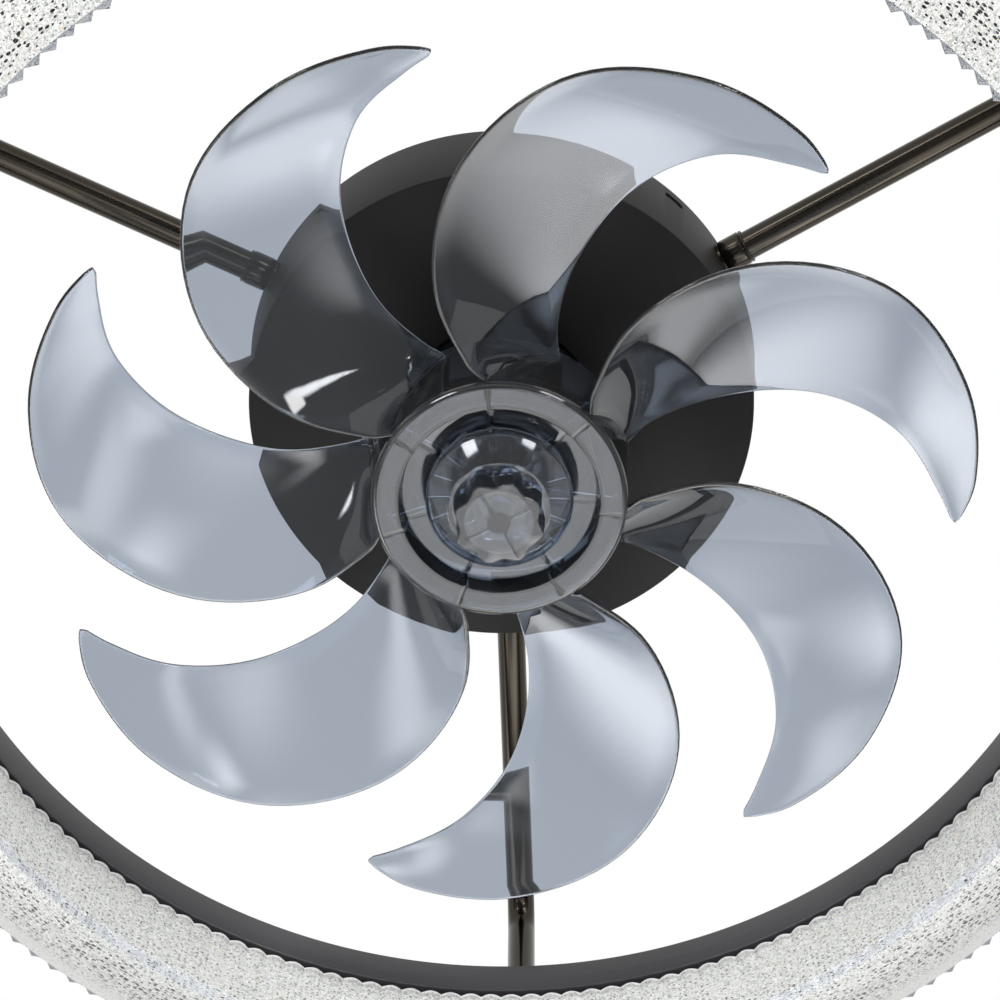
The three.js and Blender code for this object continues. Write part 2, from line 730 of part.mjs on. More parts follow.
// Impeller: hub cup, recess for the knob, boss with its pin slot, stiffening ribs and blades
function makeImpeller() {
  const rim = hubRimDepth;
  const floorFront = rim - recessDepth;
  const floorBack = floorFront - hubWall;
  const recessFoot = recessRadius - recessTaper;
  const back = rim - hubHeight;
  const backRadius = hubRimRadius + hubTaper;
  const bore = shaftRadius + fitGap;
  const front = rim + hubFrontDrop;
  let impeller = turned([
    [bore, floorFront], [recessFoot, floorFront], [recessRadius, front - hubWall / 4],
    [recessRadius + hubWall / 4, front], [hubRimRadius - hubEdgeWidth, front],
    [hubRimRadius - hubEdgeWidth * cornerShare, front - hubFrontDrop * cornerShare], [hubRimRadius, rim],
    [backRadius, back], [backRadius - hubWall, back], [hubRimRadius - hubWall, rim],
    [hubRimRadius - hubWall - hubEdgeWidth, front - hubWall], [recessRadius + hubWall, front - hubWall],
    [recessFoot + hubWall, floorBack], [bossRadius, floorBack], [bossRadius, bossTop], [bore, bossTop],
  ], hubSegments);
  const ribTop = rim - hubRibHeight - hubWall;
  const ribInner = bossRadius - hubWall / 2;
  const ribMiddle = recessFoot + hubWall / 2;
  const ribOuter = hubRimRadius - hubWall / 2;
  for (let blade = 0; blade < bladeCount; blade += 1) {
    const degrees = bladePhase + (blade * 360) / bladeCount;
    const floorRib = boxAt(hubRibThickness, ribMiddle - ribInner, ribTop, floorBack + hubWall / 2,
      (ribInner + ribMiddle) / 2, degrees);
    const rimRib = boxAt(hubRibThickness, ribOuter - ribMiddle, ribTop, front - hubWall / 2,
      (ribMiddle + ribOuter) / 2, degrees);
    impeller = impeller.add(floorRib).add(rimRib).add(bladeSolid(degrees));
  }
  const slotSide = 2 * (pinRadius + fitGap);
  const pinSlot = boxAt(slotSide, 2 * (bossRadius + cutOverrun), bossTop - cutOverrun,
    pinDepth + pinRadius + fitGap, 0, 0);
  addPiece('impeller', impeller.subtract(pinSlot), smokyPlastic);
}

// Outline of the knob's grip at a radius, with its lobes
function gripSection(radius, lobeHeight) {
  const sides = knobLobes * lobeSides;
  return new THREE.Shape(Array.from({ length: sides }, (_, side) => {
    const turn = (side / sides) * 2 * Math.PI;
    const wave = Math.cos(knobLobes * (turn - radians(knobLobePhase)));
    const reach = radius + lobeHeight * wave;
    return new THREE.Vector2(reach * Math.cos(turn), reach * Math.sin(turn));
  }));
}

// Screw knob: skirt, shoulder and lobed grip, hollow behind round a boss for the metal thread
function makeKnob() {
  const rim = hubRimDepth;
  const skirtBack = rim - knobSkirtBack;
  const skirtFront = skirtBack + knobSkirtHeight;
  const shoulder = skirtFront + knobShoulderDrop;
  const front = rim + knobLength;
  const wall = knobWall;
  const skirtRadius = recessRadius - knobToRecess;
  const shoulderRadius = skirtRadius - knobShoulderWidth;
  const gripRadius = shoulderRadius - knobGripStep;
  const shell = turned([
    [skirtRadius - wall, skirtBack], [skirtRadius, skirtBack],
    [skirtRadius, skirtFront - wall / 2], [skirtRadius - wall / 2, skirtFront],
    [shoulderRadius, shoulder], [gripRadius - wall, shoulder],
    [gripRadius - wall, shoulder - wall], [shoulderRadius - wall, shoulder - wall],
    [skirtRadius - wall, skirtFront - wall],
  ], hubSegments);
  const gripDepth = front - shoulder + wall;
  const gripTop = gripSection(gripRadius + knobGripTaper, knobLobeHeight);
  const grip = solidOf(new THREE.ExtrudeGeometry(gripTop, { depth: gripDepth, bevelEnabled: false })
    .translate(0, 0, -front));
  const hollow = round(gripRadius - knobLobeHeight - wall, 0, skirtBack, front - wall, hubSegments);
  const washerTop = rim - recessDepth + fitGap;
  const coreBack = washerTop + washerThickness + fitGap;
  const boss = round(insertRadius + knobBossWall, 0, coreBack, front - wall / 2, smallSegments);
  const insertPocket = round(insertRadius + fitGap, 0, coreBack - cutOverrun,
    coreBack + insertHeight + 2 * fitGap, hexSides);
  const shaftEnd = rim - recessDepth + shaftThreadLength;
  const shaftPocket = round(shaftRadius + fitGap, 0, coreBack - cutOverrun, shaftEnd + fitGap, smallSegments);
  const knob = shell.add(grip.subtract(hollow)).add(boss).subtract(insertPocket).subtract(shaftPocket);
  addPiece('screw_knob', knob, smokyPlastic);
  const threadTop = coreBack + fitGap;
  addPiece('knob_thread', hexNut(insertRadius, shaftRadius + fitGap, threadTop, threadTop + insertHeight), brass);
  addPiece('knob_washer', round(shaftRadius + washerBrim, shaftRadius + fitGap, washerTop,
    washerTop + washerThickness, smallSegments), bearingSteel);
}

// Boxes of electronics under the mounting plate, from an inner to an outer face
function makeElectronics() {
  const boxOuter = plateRadius - boxEdgeGap;
  const driverInner = motorCapRadius + driverCapGap;
  const receiverInner = motorCapRadius + receiverCapGap;
  const terminalOuter = plateRadius - terminalEdgeGap;
  const terminalInner = terminalOuter - terminalWidth;
  const boxes = [
    ['led_driver', driverLength, driverHeight, driverInner, boxOuter, driverAngle, whitePlastic],
    ['remote_receiver', receiverLength, receiverHeight, receiverInner, boxOuter, receiverAngle, greyPlastic],
    ['terminal_block', terminalLength, terminalHeight, terminalInner, terminalOuter, terminalAngle, whitePlastic],
  ];
  const top = plateThickness + fitGap;
  for (const [name, length, height, inner, outer, degrees, material] of boxes) {
    addPiece(name, boxAt(length, outer - inner, top, top + height, (inner + outer) / 2, degrees), material);
  }
}

makePlate();
makeCanopy();
armAngles.forEach((degrees, index) => makeArm(index + 1, degrees));
makeChannel();
makeStrip();
makeDiffuser();
makeMotorMount();
makeCan();
makeStator();
makeRotor();
makeImpeller();
makeKnob();
makeElectronics();

export default fan;
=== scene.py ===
import json
import math

import bmesh
import bpy
from mathutils import Matrix, Vector


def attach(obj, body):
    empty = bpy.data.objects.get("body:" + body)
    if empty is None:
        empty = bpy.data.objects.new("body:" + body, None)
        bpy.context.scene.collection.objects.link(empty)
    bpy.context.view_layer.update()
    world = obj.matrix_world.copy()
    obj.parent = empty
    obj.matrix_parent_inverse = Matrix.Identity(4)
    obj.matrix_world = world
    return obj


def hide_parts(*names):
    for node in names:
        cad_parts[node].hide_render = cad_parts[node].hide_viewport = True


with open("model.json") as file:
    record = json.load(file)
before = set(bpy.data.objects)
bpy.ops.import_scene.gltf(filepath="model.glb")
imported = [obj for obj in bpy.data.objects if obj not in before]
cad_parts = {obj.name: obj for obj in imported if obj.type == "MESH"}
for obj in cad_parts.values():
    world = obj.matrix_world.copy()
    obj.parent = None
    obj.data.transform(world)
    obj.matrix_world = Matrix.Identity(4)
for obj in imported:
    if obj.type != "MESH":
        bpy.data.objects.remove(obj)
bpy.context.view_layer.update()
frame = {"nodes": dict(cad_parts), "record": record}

# Low profile ceiling fan with a crystal light ring, in metres, +Z up.
# The origin is the centre of the mounting plate's ceiling face, and a depth is measured down from it.

# Camera below the fan, on the side of the room
IMAGE_SIZE = 1000
CAMERA_PLACE = Vector((0.00171, -0.508475, -1.17406))
CAMERA_LOOK = Vector((-0.0002695, 0.4316816, 0.902026))
CAMERA_RIGHT = Vector((0.9998482, -0.0155978, 0.0077634))
FOCAL_PIXELS = 3470.45
CENTRE_PIXELS = (503.549, 499.58)
SENSOR_WIDTH_MM = 36

# Room: a pale floor under the fan, two soft boxes beside the camera and a panel that the flat faces mirror.
# A lamp is its name, place, width, height, the level of its face's middle, where 1 is white,
# and the share of the face over which it fades.
FLOOR_DEPTH = 3.2
FLOOR_SIZE = 14
ROOM_LEVEL = 0.42
LAMP_AIM = Vector((0, 0, -0.1))
LAMPS = (
    ("left soft box", (-1.2, -1.5, -0.75), 0.62, 0.9, 14, 0.3),
    ("right soft box", (1.1, -1.65, -0.6), 0.62, 0.9, 14, 0.3),
    ("fill panel", (0, 0.72, -1.6), 1.3, 1.3, 2.5, 0.3),
)

# Panels round the fan that only gloss shows, where the blades mirror them
GLOSS_PANELS = (
    ("back panel", (0.6, 1.49, -1.45), 3.1, 1.5, 5.0, 0.8),
    ("low back panel", (0.91, 2.04, -0.66), 1.25, 0.85, 2.6, 0.8),
    ("back left panel", (-1.25, 1.25, -1.1), 1.5, 1.7, 6.4, 0.9),
    ("right panel", (0.72, 0.04, -1.91), 1.9, 0.6, 2.6, 0.9),
    ("left panel", (-0.95, 0, -1.15), 0.9, 0.6, 3.4, 0.9),
    ("bottom panel", (-0.1, 0.05, -1.8), 1.0, 0.9, 2.2, 1.0),
    ("near panel", (0.3, -0.5, -1.6), 0.6, 0.6, 5.0, 1.0),
    ("glare panel", (0.85, -0.99, -1.58), 0.4, 0.3, 14, 0.4),
)

# Clearance that separate pieces keep
FIT_GAP = 0.0003

# Distances below which two places are one, and two depths are the same
MERGE_DISTANCE = 1e-7
LEVEL_DISTANCE = 1e-6

# Angles past which an edge is rounded, shows sharp, and shows sharp on the ring's ridges
ROUND_OVER_DEGREES = 30
SHARP_DEGREES = 35
RIDGE_SHARP_DEGREES = 28

# Canopy
CANOPY_DEPTH = 0.0372
CANOPY_TOP_RADIUS = 0.0928
CANOPY_FACE_RADIUS = 0.0906
CANOPY_WALL = 0.0012
CANOPY_EDGE_ROUND = 0.0014
CANOPY_HOLE_RADIUS = 0.0332
SLOT_LENGTH = 0.0085
SLOT_HEIGHT = 0.0036
SLOT_DEPTH = 0.007
SLOT_ANGLES = (-49, -134.5, 45.5, 131)

# Arms
ARM_ANGLES = (-31.4, 87.2, 204.7)
ARM_DEPTH = 0.008
ARM_RADIUS = 0.00525
ARM_WALL = 0.001
ARM_BEND_RADIUS = 0.014
ARM_INNER_END = 0.064
COLLAR_RADIUS = 0.00625
COLLAR_LENGTH = 0.0095
COLLAR_ROUND = 0.0009
COLLAR_GROOVE_SETBACK = 0.00144
COLLAR_GROOVE_STEP = 0.00027
COLLAR_GROOVE_SHARE = 0.6
COLLAR_CHAMFER = 0.0003

# Light ring
RING_INNER_RADIUS = 0.2122
RING_WIDTH = 0.0378
RING_TOP_DEPTH = 0.0739
CHANNEL_HEIGHT = 0.0136
CHANNEL_WALL = 0.0012
CHANNEL_FLARE = 0.0018
CHANNEL_LIP = 0.0032
DIFFUSER_DROP = 0.0022
DIFFUSER_HEIGHT = 0.0378
DIFFUSER_OUTER_HEIGHT = 0.0185
DIFFUSER_FLARE = 0.0023
DIFFUSER_WALL = 0.0024
TONGUE_THICKNESS = 0.0016
TONGUE_HEIGHT = 0.008
RIDGES = 182
SCALLOP_HEIGHT = 0.0014
SCALLOP_FADE = 0.012
SCALLOP_DROP = 0.0008
RIPPLE_HEIGHT = 0.0003
TOOTH_HEIGHT = 0.0025
TOOTH_FADE = 0.006
TOOTH_FOOT = 0.0005
TOOTH_PEAK_SHARE = 0.625
SCALLOP_SEAT_SHARE = 0.85
TOOTH_SEAT_SHARE = 0.75
RIDGE_PHASE_SHARE = 0.001

# How strongly the underside curves and the scallops fade
UNDERSIDE_CURVE = 1.5
SCALLOP_CURVE = 1.5

# Places on the light ring that follow
RING_MIDDLE_RADIUS = RING_INNER_RADIUS + RING_WIDTH / 2
DIFFUSER_TOP_DEPTH = RING_TOP_DEPTH + CHANNEL_HEIGHT + DIFFUSER_DROP
INNER_BOTTOM_DEPTH = DIFFUSER_TOP_DEPTH + DIFFUSER_HEIGHT
OUTER_BOTTOM_DEPTH = DIFFUSER_TOP_DEPTH + DIFFUSER_OUTER_HEIGHT
INNER_TOP_RADIUS = RING_INNER_RADIUS + CHANNEL_FLARE
OUTER_TOP_RADIUS = RING_INNER_RADIUS + RING_WIDTH + FIT_GAP
INNER_FOOT_RADIUS = INNER_TOP_RADIUS + DIFFUSER_FLARE
OUTER_FOOT_RADIUS = OUTER_TOP_RADIUS + DIFFUSER_FLARE / 2
INNER_VALLEY_TOP = INNER_TOP_RADIUS + SCALLOP_HEIGHT * SCALLOP_SEAT_SHARE
INNER_VALLEY_FOOT = INNER_FOOT_RADIUS + TOOTH_HEIGHT * TOOTH_SEAT_SHARE
OUTER_VALLEY_TOP = OUTER_TOP_RADIUS - TOOTH_HEIGHT / 2
OUTER_VALLEY_FOOT = OUTER_FOOT_RADIUS - TOOTH_HEIGHT / 2

# Motor
MOTOR_RADIUS = 0.032
MOTOR_WALL = 0.002
MOTOR_END_THICKNESS = 0.003
MOTOR_TOP_DEPTH = 0.0213
MOTOR_END_DEPTH = 0.085
BEARING_RADIUS = 0.011
BEARING_WIDTH = 0.007
SEAT_WALL = 0.0027
CAN_SEAM = 0.0006
CAN_CHAMFER = 0.002
CAN_ROUND = 0.0003

# Impeller
SHAFT_RADIUS = 0.004
HUB_RIM_DEPTH = 0.1113
HUB_HEIGHT = 0.0327
HUB_RIM_RADIUS = 0.0437
HUB_TAPER = 0.0015
HUB_WALL = 0.002
HUB_FACE_WALL = 0.0012
HUB_FRONT_DROP = 0.0025
HUB_EDGE_WIDTH = 0.0022
RECESS_RADIUS = 0.0342
RECESS_TAPER = 0.0009
RECESS_DEPTH = 0.006
BOSS_RADIUS = 0.009
BOSS_HEIGHT = 0.016
RIB_THICKNESS = 0.0013
RIB_HEIGHT = 0.01
RIB_POST_RADIUS = 0.0016
SINK_RADIUS = 0.0016
SINK_DEPTH = 0.0002
BLADES = 7
BLADE_PHASE = 212
BLADE_REACH = 0.1636
BLADE_THICKNESS = 0.0018
BLADE_CAMBER = 0.004
MOULDING_ROUND = 0.0004

# Knob
KNOB_SKIRT_RADIUS = 0.0251
KNOB_SKIRT_HEIGHT = 0.0054
KNOB_SKIRT_BACK = 0.0037
KNOB_SHOULDER_RADIUS = 0.0174
KNOB_SHOULDER_DROP = 0.0066
KNOB_GRIP_RADIUS = 0.0144
KNOB_GRIP_TAPER = 0.0009
KNOB_LOBES = 8
KNOB_LOBE_PHASE = 15.5
KNOB_LOBE_HEIGHT = 0.001
KNOB_LENGTH = 0.0195
KNOB_WALL = 0.0018
KNOB_BOSS_RADIUS = 0.0086
INSERT_RADIUS = 0.0065
INSERT_HEIGHT = 0.009
THREAD_LENGTH = 0.012
SHAFT_COVER = 0.0015
KNOB_POST_RADIUS = 0.004
KNOB_RIB_ANGLE = -29.5
KNOB_RIBS = 4
KNOB_RIB_THICKNESS = 0.0007
KNOB_FINS = 18
KNOB_FIN_HEIGHT = 0.003
KNOB_MARK_DEPTH = 0.00025
KNOB_LOBED_SHARE = 0.9
GRIP_ROUND = 0.0006
WASHER_THICKNESS = 0.001
GRIP_HOLLOW_RADIUS = KNOB_GRIP_RADIUS - KNOB_LOBE_HEIGHT - KNOB_WALL

# How finely round shapes are turned
RIDGE_STEPS = 8
ROUND_STEPS = 192
TUBE_SIDES = 48
SMALL_STEPS = 48
BLADE_ROWS = 72
BLADE_COLUMNS = 16
BEND_STEPS = 24
ROUNDING_SEGMENTS = 3
WALL_ROWS = 12
TOOTH_ROWS = 4
HUB_EDGE_STEPS = 7
POST_SIDES = 24
POCKET_SIDES = 6

# How strongly a blade's rows crowd towards its tip
TIP_CROWDING = 1.5

# Share of a blade's length over which its tip is rounded, and the least share of its width left there
TIP_SHARE = 0.03
TIP_WIDTH_SHARE = 0.08

# Columns along a blade's edge, inward as shares of half its thickness,
# and the share of thickness left at the edge
EDGE_INSET_SHARES = (0, 0.08, 0.3, 0.65, 1)
EDGE_THICKNESS_SHARE = 0.15

# Blade edges from the hub to the tip, as shares: radius share, sweep in degrees, height share
LOW_EDGE_SHARES = (
    (0, -1, 0.04), (0.07, -7.5, 0.06), (0.27, -10.8, 0.11), (0.6, -2, 0.14),
    (0.88, 13.5, 0.18), (0.985, 29, 0.15), (0.99, 42, 0.21), (0.956, 48.9, 0.31),
)
HIGH_EDGE_SHARES = (
    (0, 34.5, 0.86), (0.1, 26.5, 0.87), (0.285, 23.9, 0.76), (0.556, 28.4, 0.72),
    (0.774, 36.7, 0.6), (0.887, 45, 0.41), (0.936, 49.1, 0.33),
)

# How densely the impeller's and the knob's plastic take up light, per metre
IMPELLER_SMOKE = 620.0
KNOB_SMOKE = 330.0

# Sizes of the patterns in the finishes
FLOW_SIZE = 0.0714
CLEAR_FLOW_SIZE = 0.00333
PEEL_SIZE = 0.000714
CLOUD_SIZE = 0.0333
ROLLED_SIZES = (0.125, 0.125, 0.00111)
POLISH_SIZE = 0.01667
BUBBLE_SIZE = 0.001111
ROUGHNESS_SPREAD = 0.05

# Reach of the diffuser's map down its outline, and zones on it: levels at shares of that reach
MAP_REACH = 0.1
CRYSTAL_ZONES = {
    # Where the black specks of painted reflection lie: densest mid-way across the underside, none on its
    # borders
    "dark_reflection_specks": [(0.0, 0.0), (0.04, 0.4), (0.28, 0.6), (0.355, 0.85), (0.372, 0.5), (0.39, 0.5), (0.41, 1.0),
               (0.58, 0.95), (0.64, 0.5), (0.67, 0.0)],
    "crackle": [(0.0, 1.0), (0.64, 1.0), (0.68, 0.1)],
    # Outer teeth: the clear acrylic's grey-blue, darkened with painted shade for the dark inside seen through
    # their edges
    "teeth": [(0.737, 0.0), (0.741, 1.0), (0.93, 1.0)],
    # Painted highlight: a white line along the inner wall's top edge, where its rounded edge would catch the
    # light
    "rim": [(0.004, 1.0), (0.009, 0.0)],
    "shade": [(0.01, 0.0), (0.014, 0.5), (0.03, 0.0)],
    # Painted shadow: near black on the tongues and hollow inside the channel, so the gap under the channel
    # shows black
    "gap_shadow": [(0.93, 0.0), (0.96, 1.0)],
}

# Flecks and painted glints in the crackle: grey flecks, then a painted white glint and a painted orange glint
# that stand in for sparkle off the cracks; colour, width, height, offset, noise level where one starts and is
# full, spread
CRYSTAL_FLECKS_AND_GLINTS = (
    ("c2c5c3", 0.0016, 0.001, 3.1, 0.58, 0.66, 1.2),
    ("ffffff", 0.0011, 0.0013, 7.7, 0.62, 0.7, 1.0),
    ("e6cba6", 0.0018, 0.0013, 5.3, 0.82, 0.86, 1.0),
)

# Dashes: grey cracks in the crackle, and black specks painted as reflection of the ring's dark inner parts in
# the cracks; colour, width, height, offset, share of a cell that the largest reaches, zone
CRYSTAL_DASHES = (
    ("9fa3a4", 0.0022, 0.0017, 4.3, 0.3, "crackle"),
    ("0b0c0e", 0.0023, 0.0012, 1.9, 0.5, "dark_reflection_specks"),
)
DASH_CHANCE = 0.35
DASH_EDGE = 0.06

# Colours that cover a zone: the outer teeth's grey-blue with painted shade, a grey line of painted shade
# below the top edge, a white painted highlight along that edge, and near black painted shadow in the gap
# under the channel
CRYSTAL_TINTS = (("7d818c", "teeth"), ("9c9e9c", "shade"), ("ffffff", "rim"), ("101012", "gap_shadow"))


# Colour from an sRGB hex value, as the shaders want it
def linear(hex_value):
    channels = [int(hex_value[i:i + 2], 16) / 255 for i in (0, 2, 4)]
    return [c / 12.92 if c <= 0.04045 else ((c + 0.055) / 1.055) ** 2.4 for c in channels] + [1]


# One node with its settings and its links; a number names a socket by its place
def add_node(tree, kind, settings=None, links=None):
    node = tree.nodes.new(kind)
    for name, value in (settings or {}).items():
        if isinstance(name, str) and hasattr(node, name):
            setattr(node, name, value)
        else:
            node.inputs[name].default_value = value
    for name, socket in (links or {}).items():
        tree.links.new(socket, node.inputs[name])
    return node


# A new material with a surface shader, ready for links
def new_material(name, settings):
    material = bpy.data.materials.new(name)
    material.use_nodes = True
    tree = material.node_tree
    tree.nodes.clear()
    surface = add_node(tree, "ShaderNodeBsdfPrincipled", settings)
    add_node(tree, "ShaderNodeOutputMaterial", links={"Surface": surface.outputs["BSDF"]})
    return material, tree, surface


# Colours, or plain levels, along a factor
def set_ramp(node, stops):
    elements = node.color_ramp.elements
    elements[0].position = stops[0][0]
    elements[1].position = stops[-1][0]
    for place, value in stops[1:-1]:
        elements.new(place)
    for element, (place, value) in zip(elements, stops):
        element.color = linear(value) if isinstance(value, str) else (value, value, value, 1)


# Moulded smoky polycarbonate: clear and grey-blue with a faint haze, near black where light runs along a wall
def smoky_plastic(name, density):
    material, tree, surface = new_material(name, {
        "Base Color": linear("f2f5f8"),
        "Roughness": 0.012,
        "IOR": 1.58,
        "Transmission Weight": 0.985,
    })
    depth = add_node(tree, "ShaderNodeVolumeAbsorption", {"Color": linear("8094ab"), "Density": density})
    tree.links.new(depth.outputs["Volume"], tree.nodes["Material Output"].inputs["Volume"])
    place = add_node(tree, "ShaderNodeTexCoord")
    flow = add_node(tree, "ShaderNodeTexNoise", {"Scale": 1 / FLOW_SIZE, "Detail": 0.0},
                    {"Vector": place.outputs["Object"]})
    bump = add_node(tree, "ShaderNodeBump", {"Strength": 0.02, "Distance": 0.002},
                    {"Height": flow.outputs["Fac"]})
    tree.links.new(bump.outputs["Normal"], surface.inputs["Normal"])
    return material


# Crystal acrylic: pale and bubbly, with grey flecks, painted white and orange glints, and black specks on the
# underside between plain borders that are painted reflection of the ring's dark inner parts. Zones carry a
# painted highlight and painted shade along the inner wall's top edge, painted shade on the grey-blue outer
# teeth, and painted shadow on the tongues.
# Its map runs round the ring and down from the top of the inner wall, both in metres.
def crystal_acrylic():
    material, tree, surface = new_material("crackled crystal acrylic", {
        "Roughness": 0.2,
        "IOR": 1.49,
        "Coat Weight": 0.5,
        "Coat Roughness": 0.04,
    })
    around = add_node(tree, "ShaderNodeUVMap", {"uv_map": "around"})
    down = add_node(tree, "ShaderNodeSeparateXYZ", links={"Vector": around.outputs["UV"]})
    reach = add_node(tree, "ShaderNodeMapRange", {"From Max": MAP_REACH}, {"Value": down.outputs["Y"]})

    def times(first, second):
        return add_node(tree, "ShaderNodeMath", {"operation": "MULTIPLY"},
                        {0: first, 1: second}).outputs["Value"]

    def tinted(ground, share, hex_value):
        return add_node(tree, "ShaderNodeMix", {"data_type": "RGBA", 7: linear(hex_value)},
                        {0: share, 6: ground}).outputs[2]

    def zone(stops):
        ramp = add_node(tree, "ShaderNodeValToRGB", links={"Fac": reach.outputs["Result"]})
        set_ramp(ramp, stops)
        return ramp.outputs["Color"]

    def laid(width, height, offset=0.0):
        settings = {"Location": (offset, offset, 0), "Scale": (1 / width, 1 / height, 1)}
        return add_node(tree, "ShaderNodeMapping", settings,
                        {"Vector": around.outputs["UV"]}).outputs["Vector"]

    def cells(place):
        return add_node(tree, "ShaderNodeTexVoronoi", {"voronoi_dimensions": "2D", "Scale": 1.0},
                        {"Vector": place})

    # Noise mask for the crackle's grey flecks and for its painted white and orange glints
    def flecks_and_glints(width, height, offset, least, most, spread):
        noise = add_node(tree, "ShaderNodeTexNoise",
                         {"noise_dimensions": "2D", "Scale": 1.0, "Detail": 0.0, "Distortion": spread},
                         {"Vector": laid(width, height, offset)})
        return add_node(tree, "ShaderNodeMapRange", {"From Min": least, "From Max": most},
                        {"Value": noise.outputs["Fac"]}).outputs["Result"]

    def dashes(width, height, offset, reach_share, where):
        cell = cells(laid(width, height, offset))
        chance = add_node(tree, "ShaderNodeSeparateColor", links={"Color": cell.outputs["Color"]})
        spread = add_node(tree, "ShaderNodeMapRange", {"From Min": DASH_CHANCE, "To Max": reach_share},
                          {"Value": chance.outputs["Red"]})
        size = times(spread.outputs["Result"], where)
        inside = add_node(tree, "ShaderNodeMath", {"operation": "SUBTRACT"},
                          {0: size, 1: cell.outputs["Distance"]})
        return add_node(tree, "ShaderNodeMapRange", {"From Max": DASH_EDGE},
                        {"Value": inside.outputs["Value"]}).outputs["Result"]

    zones = {name: zone(stops) for name, stops in CRYSTAL_ZONES.items()}
    bubble = cells(laid(BUBBLE_SIZE, BUBBLE_SIZE))
    ground = add_node(tree, "ShaderNodeValToRGB", links={"Fac": bubble.outputs["Distance"]})
    set_ramp(ground, [(0.1, "f8f8f4"), (0.4, "eff0eb"), (0.8, "dcdeda")])
    colour = ground.outputs["Color"]
    # Grey flecks of the crackle, and painted glints in white and orange
    for hex_value, *pattern in CRYSTAL_FLECKS_AND_GLINTS:
        colour = tinted(colour, times(zones["crackle"], flecks_and_glints(*pattern)), hex_value)
    # Grey cracks, and black specks painted as reflection of the ring's dark inner parts
    for hex_value, *pattern, where in CRYSTAL_DASHES:
        colour = tinted(colour, dashes(*pattern, zones[where]), hex_value)
    # Painted shade, highlight and shadow laid over the zones
    for hex_value, where in CRYSTAL_TINTS:
        colour = tinted(colour, zones[where], hex_value)
    tree.links.new(colour, surface.inputs["Base Color"])
    relief = times(zones["crackle"], bubble.outputs["Distance"])
    bump = add_node(tree, "ShaderNodeBump", {"Strength": 0.45, "Distance": 0.0006}, {"Height": relief})
    tree.links.new(bump.outputs["Normal"], surface.inputs["Normal"])
    return material


# Clear acrylic without crackle, grey-blue where it is seen along its edge
def clear_acrylic():
    material, tree, surface = new_material("clear edge acrylic", {
        "Roughness": 0.05,
        "IOR": 1.49,
        "Transmission Weight": 1.0,
    })
    depth = add_node(tree, "ShaderNodeVolumeAbsorption", {"Color": linear("8d93a4"), "Density": 120.0})
    tree.links.new(depth.outputs["Volume"], tree.nodes["Material Output"].inputs["Volume"])
    place = add_node(tree, "ShaderNodeTexCoord")
    flow = add_node(tree, "ShaderNodeTexNoise", {"Scale": 1 / CLEAR_FLOW_SIZE, "Detail": 1.0},
                    {"Vector": place.outputs["Object"]})
    tint = add_node(tree, "ShaderNodeValToRGB", links={"Fac": flow.outputs["Fac"]})
    set_ramp(tint, [(0.3, "dadde6"), (0.7, "e4e6ee")])
    tree.links.new(tint.outputs["Color"], surface.inputs["Base Color"])
    return material


# Powder coated steel: near black and matt, with a fine orange peel
def canopy_paint():
    material, tree, surface = new_material("black powder coat", {
        "Roughness": 0.55,
        "IOR": 1.5,
        "Specular IOR Level": 0.2,
    })
    place = add_node(tree, "ShaderNodeTexCoord")
    peel = add_node(tree, "ShaderNodeTexNoise", {"Scale": 1 / PEEL_SIZE, "Detail": 1.0},
                    {"Vector": place.outputs["Object"]})
    cloud = add_node(tree, "ShaderNodeTexNoise", {"Scale": 1 / CLOUD_SIZE, "Detail": 2.0},
                     {"Vector": place.outputs["Object"]})
    tint = add_node(tree, "ShaderNodeValToRGB", links={"Fac": cloud.outputs["Fac"]})
    set_ramp(tint, [(0.3, "211f1e"), (0.7, "242221")])
    tree.links.new(tint.outputs["Color"], surface.inputs["Base Color"])
    bump = add_node(tree, "ShaderNodeBump", {"Strength": 0.06, "Distance": 0.0001},
                    {"Height": peel.outputs["Fac"]})
    tree.links.new(bump.outputs["Normal"], surface.inputs["Normal"])
    return material


# Satin wet paint on the ring's rolled channel: dark grey, with faint lines from rolling
def ring_paint():
    material, tree, surface = new_material("satin grey ring paint", {"Roughness": 0.38, "IOR": 1.5})
    place = add_node(tree, "ShaderNodeTexCoord")
    scale = [1 / size for size in ROLLED_SIZES]
    lines_place = add_node(tree, "ShaderNodeMapping", {"Scale": scale}, {"Vector": place.outputs["Object"]})
    lines = add_node(tree, "ShaderNodeTexNoise", {"Scale": 1.0, "Detail": 2.0},
                     {"Vector": lines_place.outputs["Vector"]})
    tint = add_node(tree, "ShaderNodeValToRGB", links={"Fac": lines.outputs["Fac"]})
    set_ramp(tint, [(0.3, "484649"), (0.7, "4d4b4e")])
    tree.links.new(tint.outputs["Color"], surface.inputs["Base Color"])
    return material


# Polished black nickel plating on steel tube: dark mirror with a warm cast and soft polishing lines
def black_nickel():
    material, tree, surface = new_material("black nickel plate", {"Metallic": 1.0})
    place = add_node(tree, "ShaderNodeTexCoord")
    polish = add_node(tree, "ShaderNodeTexNoise", {"Scale": 1 / POLISH_SIZE, "Detail": 2.0},
                      {"Vector": place.outputs["Object"]})
    haze = add_node(tree, "ShaderNodeMapRange", {"To Min": 0.16, "To Max": 0.2},
                    {"Value": polish.outputs["Fac"]})
    tint = add_node(tree, "ShaderNodeValToRGB", links={"Fac": polish.outputs["Fac"]})
    set_ramp(tint, [(0.3, "39352f"), (0.7, "3c3832")])
    tree.links.new(tint.outputs["Color"], surface.inputs["Base Color"])
    tree.links.new(haze.outputs["Result"], surface.inputs["Roughness"])
    return material


